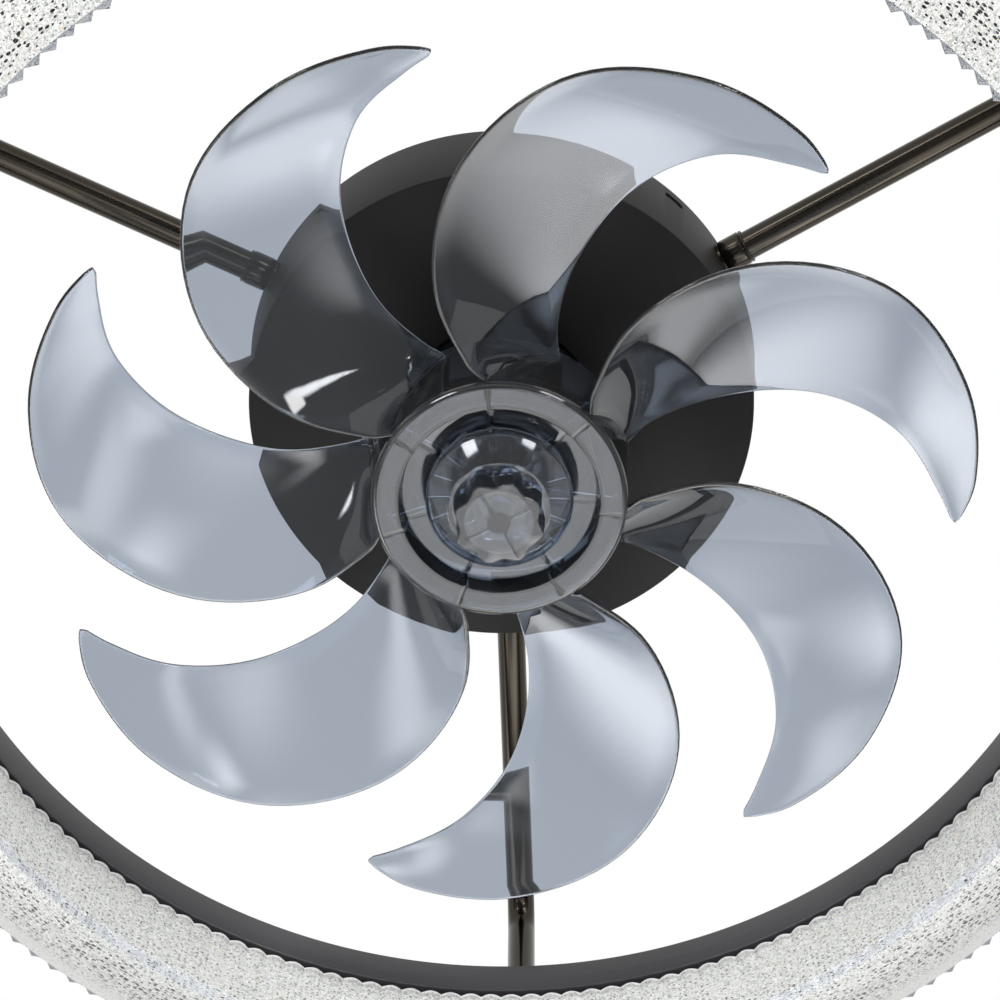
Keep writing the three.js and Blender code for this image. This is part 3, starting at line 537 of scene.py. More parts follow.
# A metal or plastic whose colour and roughness vary a little, by its own grain
def grained(name, dark, light, settings, grain_size, roughness, stretch=(1, 1, 1), relief=0.0):
    material, tree, surface = new_material(name, settings)
    place = add_node(tree, "ShaderNodeTexCoord")
    scale = [side / grain_size for side in stretch]
    grain_place = add_node(tree, "ShaderNodeMapping", {"Scale": scale}, {"Vector": place.outputs["Object"]})
    grain = add_node(tree, "ShaderNodeTexNoise", {"Scale": 1.0, "Detail": 3.0},
                     {"Vector": grain_place.outputs["Vector"]})
    tint = add_node(tree, "ShaderNodeValToRGB", links={"Fac": grain.outputs["Fac"]})
    set_ramp(tint, [(0.3, dark), (0.7, light)])
    tree.links.new(tint.outputs["Color"], surface.inputs["Base Color"])
    spread = {"To Min": roughness - ROUGHNESS_SPREAD, "To Max": roughness + ROUGHNESS_SPREAD}
    rough = add_node(tree, "ShaderNodeMapRange", spread, {"Value": grain.outputs["Fac"]})
    tree.links.new(rough.outputs["Result"], surface.inputs["Roughness"])
    if relief:
        bump = add_node(tree, "ShaderNodeBump", {"Strength": 0.3, "Distance": relief},
                        {"Height": grain.outputs["Fac"]})
        tree.links.new(bump.outputs["Normal"], surface.inputs["Normal"])
    return material


metal = {"Metallic": 1.0}
plain = {"IOR": 1.5}
materials = {
    "canopy_paint": canopy_paint(),
    "ring_paint": ring_paint(),
    "black_nickel": black_nickel(),
    "smoky_plastic": smoky_plastic("smoky moulded polycarbonate", IMPELLER_SMOKE),
    "crystal_acrylic": crystal_acrylic(),
    "black_paint": grained("satin black motor paint", "121214", "1c1c1f", plain, 0.0012, 0.45,
                           relief=0.00005),
    "zinc_steel": grained("zinc plated steel", "9a9c9c", "b8bab8", metal, 0.004, 0.35),
    "bearing_steel": grained("ground bearing steel", "b4b6b9", "cacbcd", metal, 0.0006, 0.22, (1, 1, 8)),
    "core_steel": grained("stacked core laminations", "6c6e72", "8d9094", metal, 0.0005, 0.45, (0.2, 0.2, 1)),
    "copper_wire": grained("enamelled copper wire", "8a4522", "c0703c", metal, 0.0007, 0.35, (1, 1, 2)),
    "thread_brass": grained("machined brass", "a98b48", "c4a65c", metal, 0.0007, 0.3, (1, 1, 6)),
    "white_plastic": grained("white moulded nylon", "dcdcd6", "e8e8e2", plain, 0.0008, 0.5, relief=0.00003),
    "grey_plastic": grained("grey moulded ABS", "8e9092", "9c9ea0", plain, 0.0008, 0.5, relief=0.00003),
    "light_board": grained("white solder mask", "eeeee8", "f6f6f0", plain, 0.002, 0.4),
}


# Mesh object of a bmesh, in the scene
def loose(bm, name="loose"):
    bmesh.ops.recalc_face_normals(bm, faces=bm.faces)
    mesh = bpy.data.meshes.new(name)
    bm.to_mesh(mesh)
    bm.free()
    piece = bpy.data.objects.new(name, mesh)
    bpy.context.scene.collection.objects.link(piece)
    return piece


def dress(piece, body, slot, stands_for=(), sharp_degrees=SHARP_DEGREES):
    mesh = piece.data
    mesh.materials.clear()
    mesh.materials.append(materials[slot])
    mesh.shade_smooth()
    mesh.set_sharp_from_angle(angle=math.radians(sharp_degrees))
    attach(piece, body)
    if stands_for:
        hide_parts(*stands_for)
    return piece


# Finished piece of a bmesh
def finish_piece(bm, name, body, slot, stands_for=(), sharp_degrees=SHARP_DEGREES):
    return dress(loose(bm, name), body, slot, stands_for, sharp_degrees)


# Joins corners in turn, back to the first where closed, and spins them once round the fan's axis
def spin_round(bm, corners, steps, closed=True):
    edges = [bm.edges.new(pair) for pair in zip(corners, corners[1:])]
    if closed:
        edges.append(bm.edges.new((corners[-1], corners[0])))
    bmesh.ops.spin(bm, geom=corners + edges, cent=(0, 0, 0), axis=(0, 0, 1), angle=2 * math.pi,
                   steps=steps, use_merge=True, use_duplicate=False)
    bmesh.ops.remove_doubles(bm, verts=bm.verts, dist=MERGE_DISTANCE)


# Turned solid from an outline of (radius, depth) points that closes on itself or on the axis
def turned(outline, steps, rounding=0.0):
    bm = bmesh.new()
    corners = [bm.verts.new((radius, 0, -depth)) for radius, depth in outline]
    spin_round(bm, corners, steps, closed=outline[0][0] > 0)
    bmesh.ops.recalc_face_normals(bm, faces=bm.faces)
    if rounding:
        limit = math.radians(ROUND_OVER_DEGREES)
        sharp = [edge for edge in bm.edges if edge.is_manifold and edge.calc_face_angle() > limit
                 and abs(edge.verts[0].co.z - edge.verts[1].co.z) < LEVEL_DISTANCE]
        bmesh.ops.bevel(bm, geom=sharp, offset=rounding, segments=ROUNDING_SEGMENTS, profile=0.5,
                        affect="EDGES", material=-1, clamp_overlap=True)
    return bm


# Moves a vertex away from the fan's axis
def push_out(vert, distance):
    radius = math.hypot(vert.co.x, vert.co.y)
    scale = (radius + distance) / radius
    vert.co.x *= scale
    vert.co.y *= scale


# Makes a piece's modifiers part of its mesh
def settle(piece):
    bpy.context.view_layer.update()
    seen = piece.evaluated_get(bpy.context.evaluated_depsgraph_get())
    mesh = bpy.data.meshes.new_from_object(seen)
    old = piece.data
    piece.modifiers.clear()
    piece.data = mesh
    bpy.data.meshes.remove(old)


# Removes a piece whose mesh is used up
def use_up(piece):
    mesh = piece.data
    bpy.data.objects.remove(piece)
    bpy.data.meshes.remove(mesh)


# Puts pieces that don't touch each other into one mesh
def gather(pieces):
    bm = bmesh.new()
    for piece in pieces:
        bm.from_mesh(piece.data)
        use_up(piece)
    return loose(bm)


# Joins or cuts a piece by other pieces, which are used up
def combine(piece, tools, operation):
    for tool in tools:
        change = piece.modifiers.new("combine", "BOOLEAN")
        change.operation = operation
        change.solver = "EXACT"
        change.object = tool
        settle(piece)
        use_up(tool)


# Turns a bmesh about the fan's axis, after a move out along the radius
def place_at(bm, radius, degrees):
    bmesh.ops.translate(bm, verts=bm.verts, vec=(radius, 0, 0))
    turn = Matrix.Rotation(math.radians(degrees), 3, "Z")
    bmesh.ops.rotate(bm, verts=bm.verts, cent=(0, 0, 0), matrix=turn)
    return bm


# Lays a turned solid along the radius, from a place on it and at a depth
def lay_along(bm, start, depth, degrees):
    bmesh.ops.rotate(bm, verts=bm.verts, cent=(0, 0, 0), matrix=Matrix.Rotation(-math.pi / 2, 3, "Y"))
    bmesh.ops.translate(bm, verts=bm.verts, vec=(0, 0, -depth))
    low = min(vert.co.x for vert in bm.verts)
    return place_at(bm, start - low, degrees)


# Round bar along the radius between two places, at a depth
def spoke(radius, start, end, depth, degrees, sides):
    bar = turned([(0, 0), (radius, 0), (radius, end - start), (0, end - start)], sides)
    return lay_along(bar, start, depth, degrees)


# Canopy shell: turned, with its face edge rounded, arm holes and pill-shaped side slots
def make_canopy():
    inside = CANOPY_DEPTH - CANOPY_WALL
    outline = [
        (CANOPY_TOP_RADIUS - CANOPY_WALL, FIT_GAP), (CANOPY_TOP_RADIUS, FIT_GAP),
        (CANOPY_FACE_RADIUS, CANOPY_DEPTH), (CANOPY_HOLE_RADIUS, CANOPY_DEPTH),
        (CANOPY_HOLE_RADIUS, inside), (CANOPY_FACE_RADIUS - CANOPY_WALL, inside),
    ]
    shell = loose(turned(outline, ROUND_STEPS, CANOPY_EDGE_ROUND / 3))
    cutters = []
    start = CANOPY_FACE_RADIUS - 3 * CANOPY_WALL
    end = CANOPY_TOP_RADIUS + CANOPY_WALL
    for degrees in ARM_ANGLES:
        cutters.append(loose(spoke(ARM_RADIUS + FIT_GAP, start, end, ARM_DEPTH, degrees, SMALL_STEPS)))
    spread = (SLOT_LENGTH - SLOT_HEIGHT) / 2
    for degrees in SLOT_ANGLES:
        pill = spoke(SLOT_HEIGHT / 2, start, end, SLOT_DEPTH, 0, SMALL_STEPS)
        for vert in pill.verts:
            if abs(vert.co.y) > LEVEL_DISTANCE:
                vert.co.y += math.copysign(spread, vert.co.y)
        cutters.append(loose(place_at(pill, 0, degrees)))
    combine(shell, [gather(cutters)], "DIFFERENCE")
    shell.name = "canopy_shell_spun"
    dress(shell, "base", "canopy_paint", ["canopy_shell"])


# One arm: a tube that runs out level, bends down and stands on the ring
def make_arm(number, degrees):
    bend_start = RING_MIDDLE_RADIUS - ARM_BEND_RADIUS
    bend_depth = ARM_DEPTH + ARM_BEND_RADIUS
    bm = bmesh.new()
    for radius in (ARM_RADIUS, ARM_RADIUS - ARM_WALL):
        bmesh.ops.create_circle(bm, segments=TUBE_SIDES, radius=radius)
    bmesh.ops.bridge_loops(bm, edges=list(bm.edges))
    bmesh.ops.rotate(bm, verts=bm.verts, cent=(0, 0, 0), matrix=Matrix.Rotation(math.pi / 2, 3, "Y"))
    bmesh.ops.translate(bm, verts=bm.verts, vec=(ARM_INNER_END, 0, -ARM_DEPTH))

    def extrude(faces, step):
        out = bmesh.ops.extrude_face_region(bm, geom=faces)["geom"]
        bmesh.ops.translate(bm, verts=[g for g in out if isinstance(g, bmesh.types.BMVert)], vec=step)
        return [g for g in out if isinstance(g, bmesh.types.BMFace)]

    front = extrude(list(bm.faces), (bend_start - ARM_INNER_END, 0, 0))
    bend = bmesh.ops.spin(bm, geom=front, cent=(bend_start, 0, -bend_depth), axis=(0, 1, 0),
                          angle=math.pi / 2, steps=BEND_STEPS, use_duplicate=False)["geom_last"]
    front = [g for g in bend if isinstance(g, bmesh.types.BMFace)]
    extrude(front, (0, 0, bend_depth - RING_TOP_DEPTH + FIT_GAP))
    place_at(bm, 0, degrees)
    finish_piece(bm, f"arm_tube_{number}_bent", "base", "black_nickel", [f"arm_tube_{number}"])


# Collar round an arm outside the canopy, with a rounded inner end, a groove and a chamfer
def make_collar(number, degrees):
    bore = ARM_RADIUS + FIT_GAP
    groove = COLLAR_LENGTH - COLLAR_GROOVE_SETBACK
    sunk = COLLAR_RADIUS - (COLLAR_RADIUS - bore) * COLLAR_GROOVE_SHARE
    bm = turned([
        (bore, 0), (sunk, 0), (COLLAR_RADIUS, COLLAR_ROUND), (COLLAR_RADIUS, groove),
        (sunk, groove + COLLAR_GROOVE_STEP), (sunk, groove + 2 * COLLAR_GROOVE_STEP),
        (COLLAR_RADIUS, groove + 3 * COLLAR_GROOVE_STEP), (COLLAR_RADIUS, COLLAR_LENGTH - COLLAR_CHAMFER),
        (sunk, COLLAR_LENGTH), (bore, COLLAR_LENGTH),
    ], TUBE_SIDES, COLLAR_ROUND / 8)
    lay_along(bm, CANOPY_TOP_RADIUS + FIT_GAP, ARM_DEPTH, degrees)
    finish_piece(bm, f"arm_collar_{number}_turned", "base", "black_nickel", [f"arm_collar_{number}"])


# Channel of the light ring, rolled with soft edges
def make_channel():
    inner = RING_INNER_RADIUS
    outer = RING_INNER_RADIUS + RING_WIDTH
    top = RING_TOP_DEPTH
    bottom = top + CHANNEL_HEIGHT
    foot = inner + CHANNEL_FLARE
    bm = turned([
        (inner, top), (outer, top), (outer, bottom), (outer - CHANNEL_LIP, bottom),
        (outer - CHANNEL_LIP, bottom - CHANNEL_WALL), (outer - CHANNEL_WALL, bottom - CHANNEL_WALL),
        (outer - CHANNEL_WALL, top + CHANNEL_WALL), (inner + CHANNEL_WALL, top + CHANNEL_WALL),
        (foot + CHANNEL_WALL, bottom - CHANNEL_WALL), (foot + CHANNEL_LIP, bottom - CHANNEL_WALL),
        (foot + CHANNEL_LIP, bottom), (foot, bottom),
    ], ROUND_STEPS * 2, CHANNEL_WALL / 3)
    finish_piece(bm, "ring_channel_rolled", "base", "ring_paint", ["ring_channel"])


# Radius of the valleys between the inner wall's ridges, at a share of the way down
def inner_valley(share):
    return INNER_VALLEY_TOP + (INNER_VALLEY_FOOT - INNER_VALLEY_TOP) * share


# Depth of the diffuser's curved underside at a radius
def underside_depth(radius):
    share = (OUTER_FOOT_RADIUS - radius) / (OUTER_FOOT_RADIUS - INNER_FOOT_RADIUS)
    drop = 1 - (1 - share) ** UNDERSIDE_CURVE
    return OUTER_BOTTOM_DEPTH + (INNER_BOTTOM_DEPTH - OUTER_BOTTOM_DEPTH) * drop


# Outline of the diffuser from the top of its inner wall: radius, depth, and the shares of scallop and tooth
def diffuser_outline():
    outline = []
    for step in range(WALL_ROWS + 1):
        share = step / WALL_ROWS
        height = (DIFFUSER_HEIGHT - TOOTH_FOOT) * share
        depth = DIFFUSER_TOP_DEPTH + SCALLOP_DROP * (1 - share) + height
        outline.append((inner_valley(share), depth, max(1 - height / SCALLOP_FADE, 0) ** SCALLOP_CURVE, 0))
    for step in range(2 * WALL_ROWS + 1):
        radius = INNER_VALLEY_FOOT + (OUTER_VALLEY_FOOT - INNER_VALLEY_FOOT) * step / (2 * WALL_ROWS)
        outline.append((radius, underside_depth(radius), 0, 0))
    for step in range(WALL_ROWS // 2 + 1):
        share = step / (WALL_ROWS // 2)
        radius = OUTER_VALLEY_FOOT + (OUTER_VALLEY_TOP - OUTER_VALLEY_FOOT) * share
        depth = (OUTER_BOTTOM_DEPTH - TOOTH_FOOT) * (1 - share) + DIFFUSER_TOP_DEPTH * share
        outline.append((radius, depth, 0, 1))
    tongue_top = RING_TOP_DEPTH + CHANNEL_HEIGHT - TONGUE_HEIGHT
    inner_tongue = INNER_TOP_RADIUS + CHANNEL_LIP + FIT_GAP
    outer_tongue = RING_INNER_RADIUS + RING_WIDTH - CHANNEL_LIP - FIT_GAP
    outline += [
        (outer_tongue, DIFFUSER_TOP_DEPTH, 0, 0), (outer_tongue, tongue_top, 0, 0),
        (outer_tongue - TONGUE_THICKNESS, tongue_top, 0, 0),
        (outer_tongue - TONGUE_THICKNESS, DIFFUSER_TOP_DEPTH + DIFFUSER_WALL, 0, 0),
    ]
    hollow_outer = OUTER_FOOT_RADIUS - 2 * DIFFUSER_WALL
    hollow_inner = INNER_FOOT_RADIUS + 2 * DIFFUSER_WALL
    for step in range(WALL_ROWS // 2 + 1):
        radius = hollow_outer + (hollow_inner - hollow_outer) * step / (WALL_ROWS // 2)
        outline.append((radius, underside_depth(radius) - DIFFUSER_WALL, 0, 0))
    outline += [
        (inner_tongue + TONGUE_THICKNESS, tongue_top, 0, 0), (inner_tongue, tongue_top, 0, 0),
        (inner_tongue, DIFFUSER_TOP_DEPTH, 0, 0),
    ]
    return outline


# How far a vertex is through its ridge of the ring, as a share
def ridge_phase(vert):
    turn = math.atan2(vert.co.y, vert.co.x)
    return (turn / (2 * math.pi) * RIDGES + RIDGE_PHASE_SHARE) % 1


# Map of a ring: the way round at the ring's middle, and the way along its outline
def map_around(bm, along):
    around = bm.loops.layers.uv.new("around")
    for face in bm.faces:
        centre = face.calc_center_median()
        facing = math.atan2(centre.y, centre.x)
        for loop in face.loops:
            turn = math.atan2(loop.vert.co.y, loop.vert.co.x)
            turn += round((facing - turn) / (2 * math.pi)) * 2 * math.pi
            loop[around].uv = (turn * RING_MIDDLE_RADIUS, loop.vert[along])


# Crystal diffuser: ridged walls, a curved underside with plain borders, and tongues into the channel
def make_diffuser():
    bm = bmesh.new()
    scalloped = bm.verts.layers.float.new("scalloped")
    toothed = bm.verts.layers.float.new("toothed")
    along = bm.verts.layers.float.new("along")
    corners = []
    length = 0
    for radius, depth, scallop, tooth in diffuser_outline():
        vert = bm.verts.new((radius, 0, -depth))
        if corners:
            length += (vert.co - corners[-1].co).length
        vert[scalloped] = scallop
        vert[toothed] = tooth
        vert[along] = length
        corners.append(vert)
    wall_length = corners[WALL_ROWS][along]
    spin_round(bm, corners, RIDGES * RIDGE_STEPS)
    for vert in bm.verts:
        wave = math.sin(math.pi * ridge_phase(vert))
        if vert[toothed]:
            push_out(vert, TOOTH_HEIGHT * vert[toothed] * (1 - abs(2 * ridge_phase(vert) - 1)))
        elif vert[scalloped]:
            push_out(vert, -SCALLOP_HEIGHT * vert[scalloped] * wave)
        elif vert[along] < wall_length:
            push_out(vert, -RIPPLE_HEIGHT * wave)
    map_around(bm, along)
    finish_piece(bm, "crystal_diffuser", "base", "crystal_acrylic", ["diffuser_ring"], RIDGE_SHARP_DEGREES)


# Clear saw teeth at the foot of the diffuser's inner wall
def make_inner_teeth():
    wall_height = DIFFUSER_HEIGHT - TOOTH_FOOT
    outline = []
    for step in range(TOOTH_ROWS + 1):
        height = TOOTH_FADE * step / TOOTH_ROWS
        radius = inner_valley(1 - height / wall_height) - RIPPLE_HEIGHT
        outline.append((radius, height, 1 - step / TOOTH_ROWS))
    for height in (TOOTH_FADE, 0):
        outline.append((inner_valley(1 - height / wall_height) + FIT_GAP, height, 0))
    bm = bmesh.new()
    toothed = bm.verts.layers.float.new("toothed")
    corners = []
    for radius, height, tooth in outline:
        vert = bm.verts.new((radius, 0, height + TOOTH_FOOT - INNER_BOTTOM_DEPTH))
        vert[toothed] = tooth
        corners.append(vert)
    spin_round(bm, corners, RIDGES * RIDGE_STEPS)
    for vert in bm.verts:
        phase = ridge_phase(vert)
        tooth = min(phase / TOOTH_PEAK_SHARE, (1 - phase) / (1 - TOOTH_PEAK_SHARE))
        push_out(vert, -TOOTH_HEIGHT * vert[toothed] * tooth)
    teeth = finish_piece(bm, "crystal_inner_teeth", "base", "crystal_acrylic", (), RIDGE_SHARP_DEGREES)
    teeth.data.materials[0] = clear_acrylic()
    teeth.visible_shadow = False


# Motor can with a pressed seam, open above and closed round the lower bearing's seat
def make_can():
    inner = MOTOR_RADIUS - MOTOR_WALL
    end_top = MOTOR_END_DEPTH - MOTOR_END_THICKNESS
    seat_top = end_top - FIT_GAP - BEARING_WIDTH
    seat_inner = BEARING_RADIUS + FIT_GAP
    hole = SHAFT_RADIUS + MOTOR_WALL
    seam_depth = (CANOPY_DEPTH + HUB_RIM_DEPTH - HUB_HEIGHT) / 2
    bm = turned([
        (inner, MOTOR_TOP_DEPTH), (MOTOR_RADIUS, MOTOR_TOP_DEPTH), (MOTOR_RADIUS, seam_depth - CAN_SEAM),
        (MOTOR_RADIUS - CAN_SEAM, seam_depth - CAN_SEAM), (MOTOR_RADIUS - CAN_SEAM, seam_depth + CAN_SEAM),
        (MOTOR_RADIUS, seam_depth + CAN_SEAM), (MOTOR_RADIUS, MOTOR_END_DEPTH - CAN_CHAMFER),
        (MOTOR_RADIUS - CAN_CHAMFER, MOTOR_END_DEPTH), (hole, MOTOR_END_DEPTH), (hole, end_top),
        (seat_inner, end_top), (seat_inner, seat_top), (seat_inner + SEAT_WALL, seat_top),
        (seat_inner + SEAT_WALL, end_top), (inner, end_top),
    ], ROUND_STEPS, CAN_ROUND)
    finish_piece(bm, "motor_can_pressed", "base", "black_paint", ["motor_can"])


# Point on a smooth line through the edge shares, at a share of the way from the hub to the tip
def edge_point(shares, along):
    spans = len(shares) - 1
    span = min(int(along * spans), spans - 1)
    t = along * spans - span

    def at(index):
        if index < 0:
            return [2 * a - b for a, b in zip(shares[0], shares[1])]
        if index > spans:
            return [2 * a - b for a, b in zip(shares[spans], shares[spans - 1])]
        return shares[index]

    point = []
    for before, value, to, after in zip(at(span - 1), at(span), at(span + 1), at(span + 2)):
        start_slope = (to - before) / 2
        end_slope = (after - value) / 2
        rise = to - value
        point.append(value + t * start_slope + t ** 2 * (3 * rise - 2 * start_slope - end_slope)
                     + t ** 3 * (start_slope + end_slope - 2 * rise))
    return point


# Point on a blade's middle surface, across from the low edge to the high edge
def blade_point(along, across):
    low = edge_point(LOW_EDGE_SHARES, along)
    high = edge_point(HIGH_EDGE_SHARES, along)
    radius_share, sweep, height_share = [a + (b - a) * across for a, b in zip(low, high)]
    bulge = BLADE_CAMBER * 4 * across * (1 - across) * (1 - along)
    height = height_share * HUB_HEIGHT + bulge
    root = HUB_RIM_RADIUS - HUB_WALL / 2
    radius = root + radius_share * (BLADE_REACH - root)
    turn = math.radians(sweep)
    return Vector((radius * math.cos(turn), radius * math.sin(turn), height - HUB_RIM_DEPTH))


# One blade: an even sheet on the middle surface with a rounded tip, and an edge that thins to a round
def make_blade(degrees):
    bm = bmesh.new()
    sheet = bmesh.ops.create_grid(bm, x_segments=BLADE_ROWS, y_segments=BLADE_COLUMNS, size=0.5)["verts"]
    half = BLADE_THICKNESS / 2
    last = len(EDGE_INSET_SHARES) - 1
    thickness_shares = []
    for vert in sheet:
        along = 1 - (0.5 - vert.co.x) ** TIP_CROWDING
        width = (blade_point(along, 1) - blade_point(along, 0)).length
        column = (0.5 - abs(vert.co.y)) * BLADE_COLUMNS
        inset_share = EDGE_INSET_SHARES[min(round(column), last)]
        inset = min(inset_share * half / width, column / BLADE_COLUMNS)
        if column > last:
            inset += (column - last) / (BLADE_COLUMNS / 2 - last) * (0.5 - inset)
        into_tip = max(along - 1 + TIP_SHARE, 0) / TIP_SHARE
        width_share = max(math.sqrt(max(1 - into_tip ** 2, 0)), TIP_WIDTH_SHARE)
        from_edge = min(inset * width / half, 1)
        thickness_shares.append(max(math.sqrt(1 - (1 - from_edge) ** 2), EDGE_THICKNESS_SHARE))
        vert.co = blade_point(along, 0.5 + math.copysign(0.5 - inset, vert.co.y) * width_share)
    blade = loose(place_at(bm, 0, degrees), "blade")
    rim = blade.vertex_groups.new(name="rim")
    for index, share in enumerate(thickness_shares):
        rim.add([index], share, "REPLACE")
    wall = blade.modifiers.new("wall", "SOLIDIFY")
    wall.thickness = BLADE_THICKNESS
    wall.offset = 0
    wall.vertex_group = rim.name
    settle(blade)
    return blade


# Upright rib along the radius, between two radii and two depths
def make_rib(thickness, inner, outer, high, low, degrees):
    bm = bmesh.new()
    bmesh.ops.create_cube(bm, size=1)
    bmesh.ops.scale(bm, verts=bm.verts, vec=(outer - inner, thickness, low - high))
    bmesh.ops.translate(bm, verts=bm.verts, vec=((inner + outer) / 2, 0, -(low + high) / 2))
    return loose(place_at(bm, 0, degrees), "rib")


# Post at the outer end of a rib in the hub, which shows as a keyhole from below
def make_post(high, low, degrees):
    bm = turned([(0, high), (RIB_POST_RADIUS, high), (RIB_POST_RADIUS, low), (0, low)], POST_SIDES)
    return loose(place_at(bm, HUB_RIM_RADIUS - HUB_WALL - RIB_POST_RADIUS, degrees), "post")


# Impeller: hub cup, recess, boss, ribs and blades, joined into one moulding
def make_impeller():
    rim = HUB_RIM_DEPTH
    floor_front = rim - RECESS_DEPTH
    floor_back = floor_front - HUB_FACE_WALL
    foot = RECESS_RADIUS - RECESS_TAPER
    boss_top = floor_back - BOSS_HEIGHT
    back = rim - HUB_HEIGHT
    back_radius = HUB_RIM_RADIUS + HUB_TAPER
    bore = SHAFT_RADIUS + FIT_GAP
    front = rim + HUB_FRONT_DROP
    face_back = front - HUB_FACE_WALL
    edge = []
    for step in range(HUB_EDGE_STEPS + 1):
        turn = step / HUB_EDGE_STEPS * math.pi / 2
        radius = HUB_RIM_RADIUS - HUB_EDGE_WIDTH * (1 - math.sin(turn))
        edge.append((radius, rim + HUB_FRONT_DROP * math.cos(turn)))
    hub = loose(turned([
        (bore, floor_front), (foot, floor_front), (RECESS_RADIUS, front), *edge, (back_radius, back),
        (back_radius - HUB_WALL, back), (HUB_RIM_RADIUS - HUB_WALL, rim),
        (HUB_RIM_RADIUS - HUB_WALL, face_back), (RECESS_RADIUS + HUB_FACE_WALL, face_back),
        (foot + HUB_FACE_WALL, floor_back), (BOSS_RADIUS, floor_back), (BOSS_RADIUS, boss_top),
        (bore, boss_top),
    ], ROUND_STEPS, MOULDING_ROUND), "impeller_moulding")
    rib_top = rim - RIB_HEIGHT - HUB_WALL
    bury = HUB_FACE_WALL / 2
    ribs = (
        (BOSS_RADIUS - bury, foot + bury, floor_back + bury),
        (foot + bury, HUB_RIM_RADIUS - bury, front - bury),
    )
    turns = [BLADE_PHASE + blade * 360 / BLADES for blade in range(BLADES)]
    blades = [make_blade(degrees) for degrees in turns]
    groups = [[make_rib(RIB_THICKNESS, inner, outer, rib_top, low, degrees) for degrees in turns]
              for inner, outer, low in ribs]
    posts = [make_post(rib_top - bury / 2, front - bury, degrees) for degrees in turns]
    combine(hub, [gather(group) for group in (*groups, posts, blades)], "UNION")
    marks = []
    for degrees in turns:
        for start, end, face in ((KNOB_GRIP_RADIUS, foot - SINK_RADIUS, floor_front),
                                 (RECESS_RADIUS, HUB_RIM_RADIUS - HUB_EDGE_WIDTH, front)):
            depth = face + SINK_RADIUS - SINK_DEPTH
            marks.append(loose(spoke(SINK_RADIUS, start, end, depth, degrees, SMALL_STEPS)))
    combine(hub, [gather(marks)], "DIFFERENCE")
    dress(hub, "rotor", "smoky_plastic", ["impeller"])


# Solid cylinder on the fan's axis between two depths
def core(radius, back, front, sides, name):
    return loose(turned([(0, back), (radius, back), (radius, front), (0, front)], sides), name)


# The knob's lobed grip, hollow from behind
def make_grip(back, shoulder, front):
    base = shoulder - KNOB_WALL
    bm = turned([
        (0, base), (KNOB_GRIP_RADIUS + KNOB_GRIP_TAPER, base),
        (KNOB_GRIP_RADIUS + KNOB_GRIP_TAPER / 2, (shoulder + front) / 2), (KNOB_GRIP_RADIUS, front),
        (0, front),
    ], ROUND_STEPS, GRIP_ROUND)
    for vert in bm.verts:
        if math.hypot(vert.co.x, vert.co.y) > KNOB_GRIP_RADIUS * KNOB_LOBED_SHARE:
            turn = math.atan2(vert.co.y, vert.co.x) - math.radians(KNOB_LOBE_PHASE)
            push_out(vert, KNOB_LOBE_HEIGHT * math.cos(KNOB_LOBES * turn))
    grip = loose(bm, "grip")
    combine(grip, [core(GRIP_HOLLOW_RADIUS, back, front - KNOB_WALL, ROUND_STEPS, "hollow")], "DIFFERENCE")
    return grip


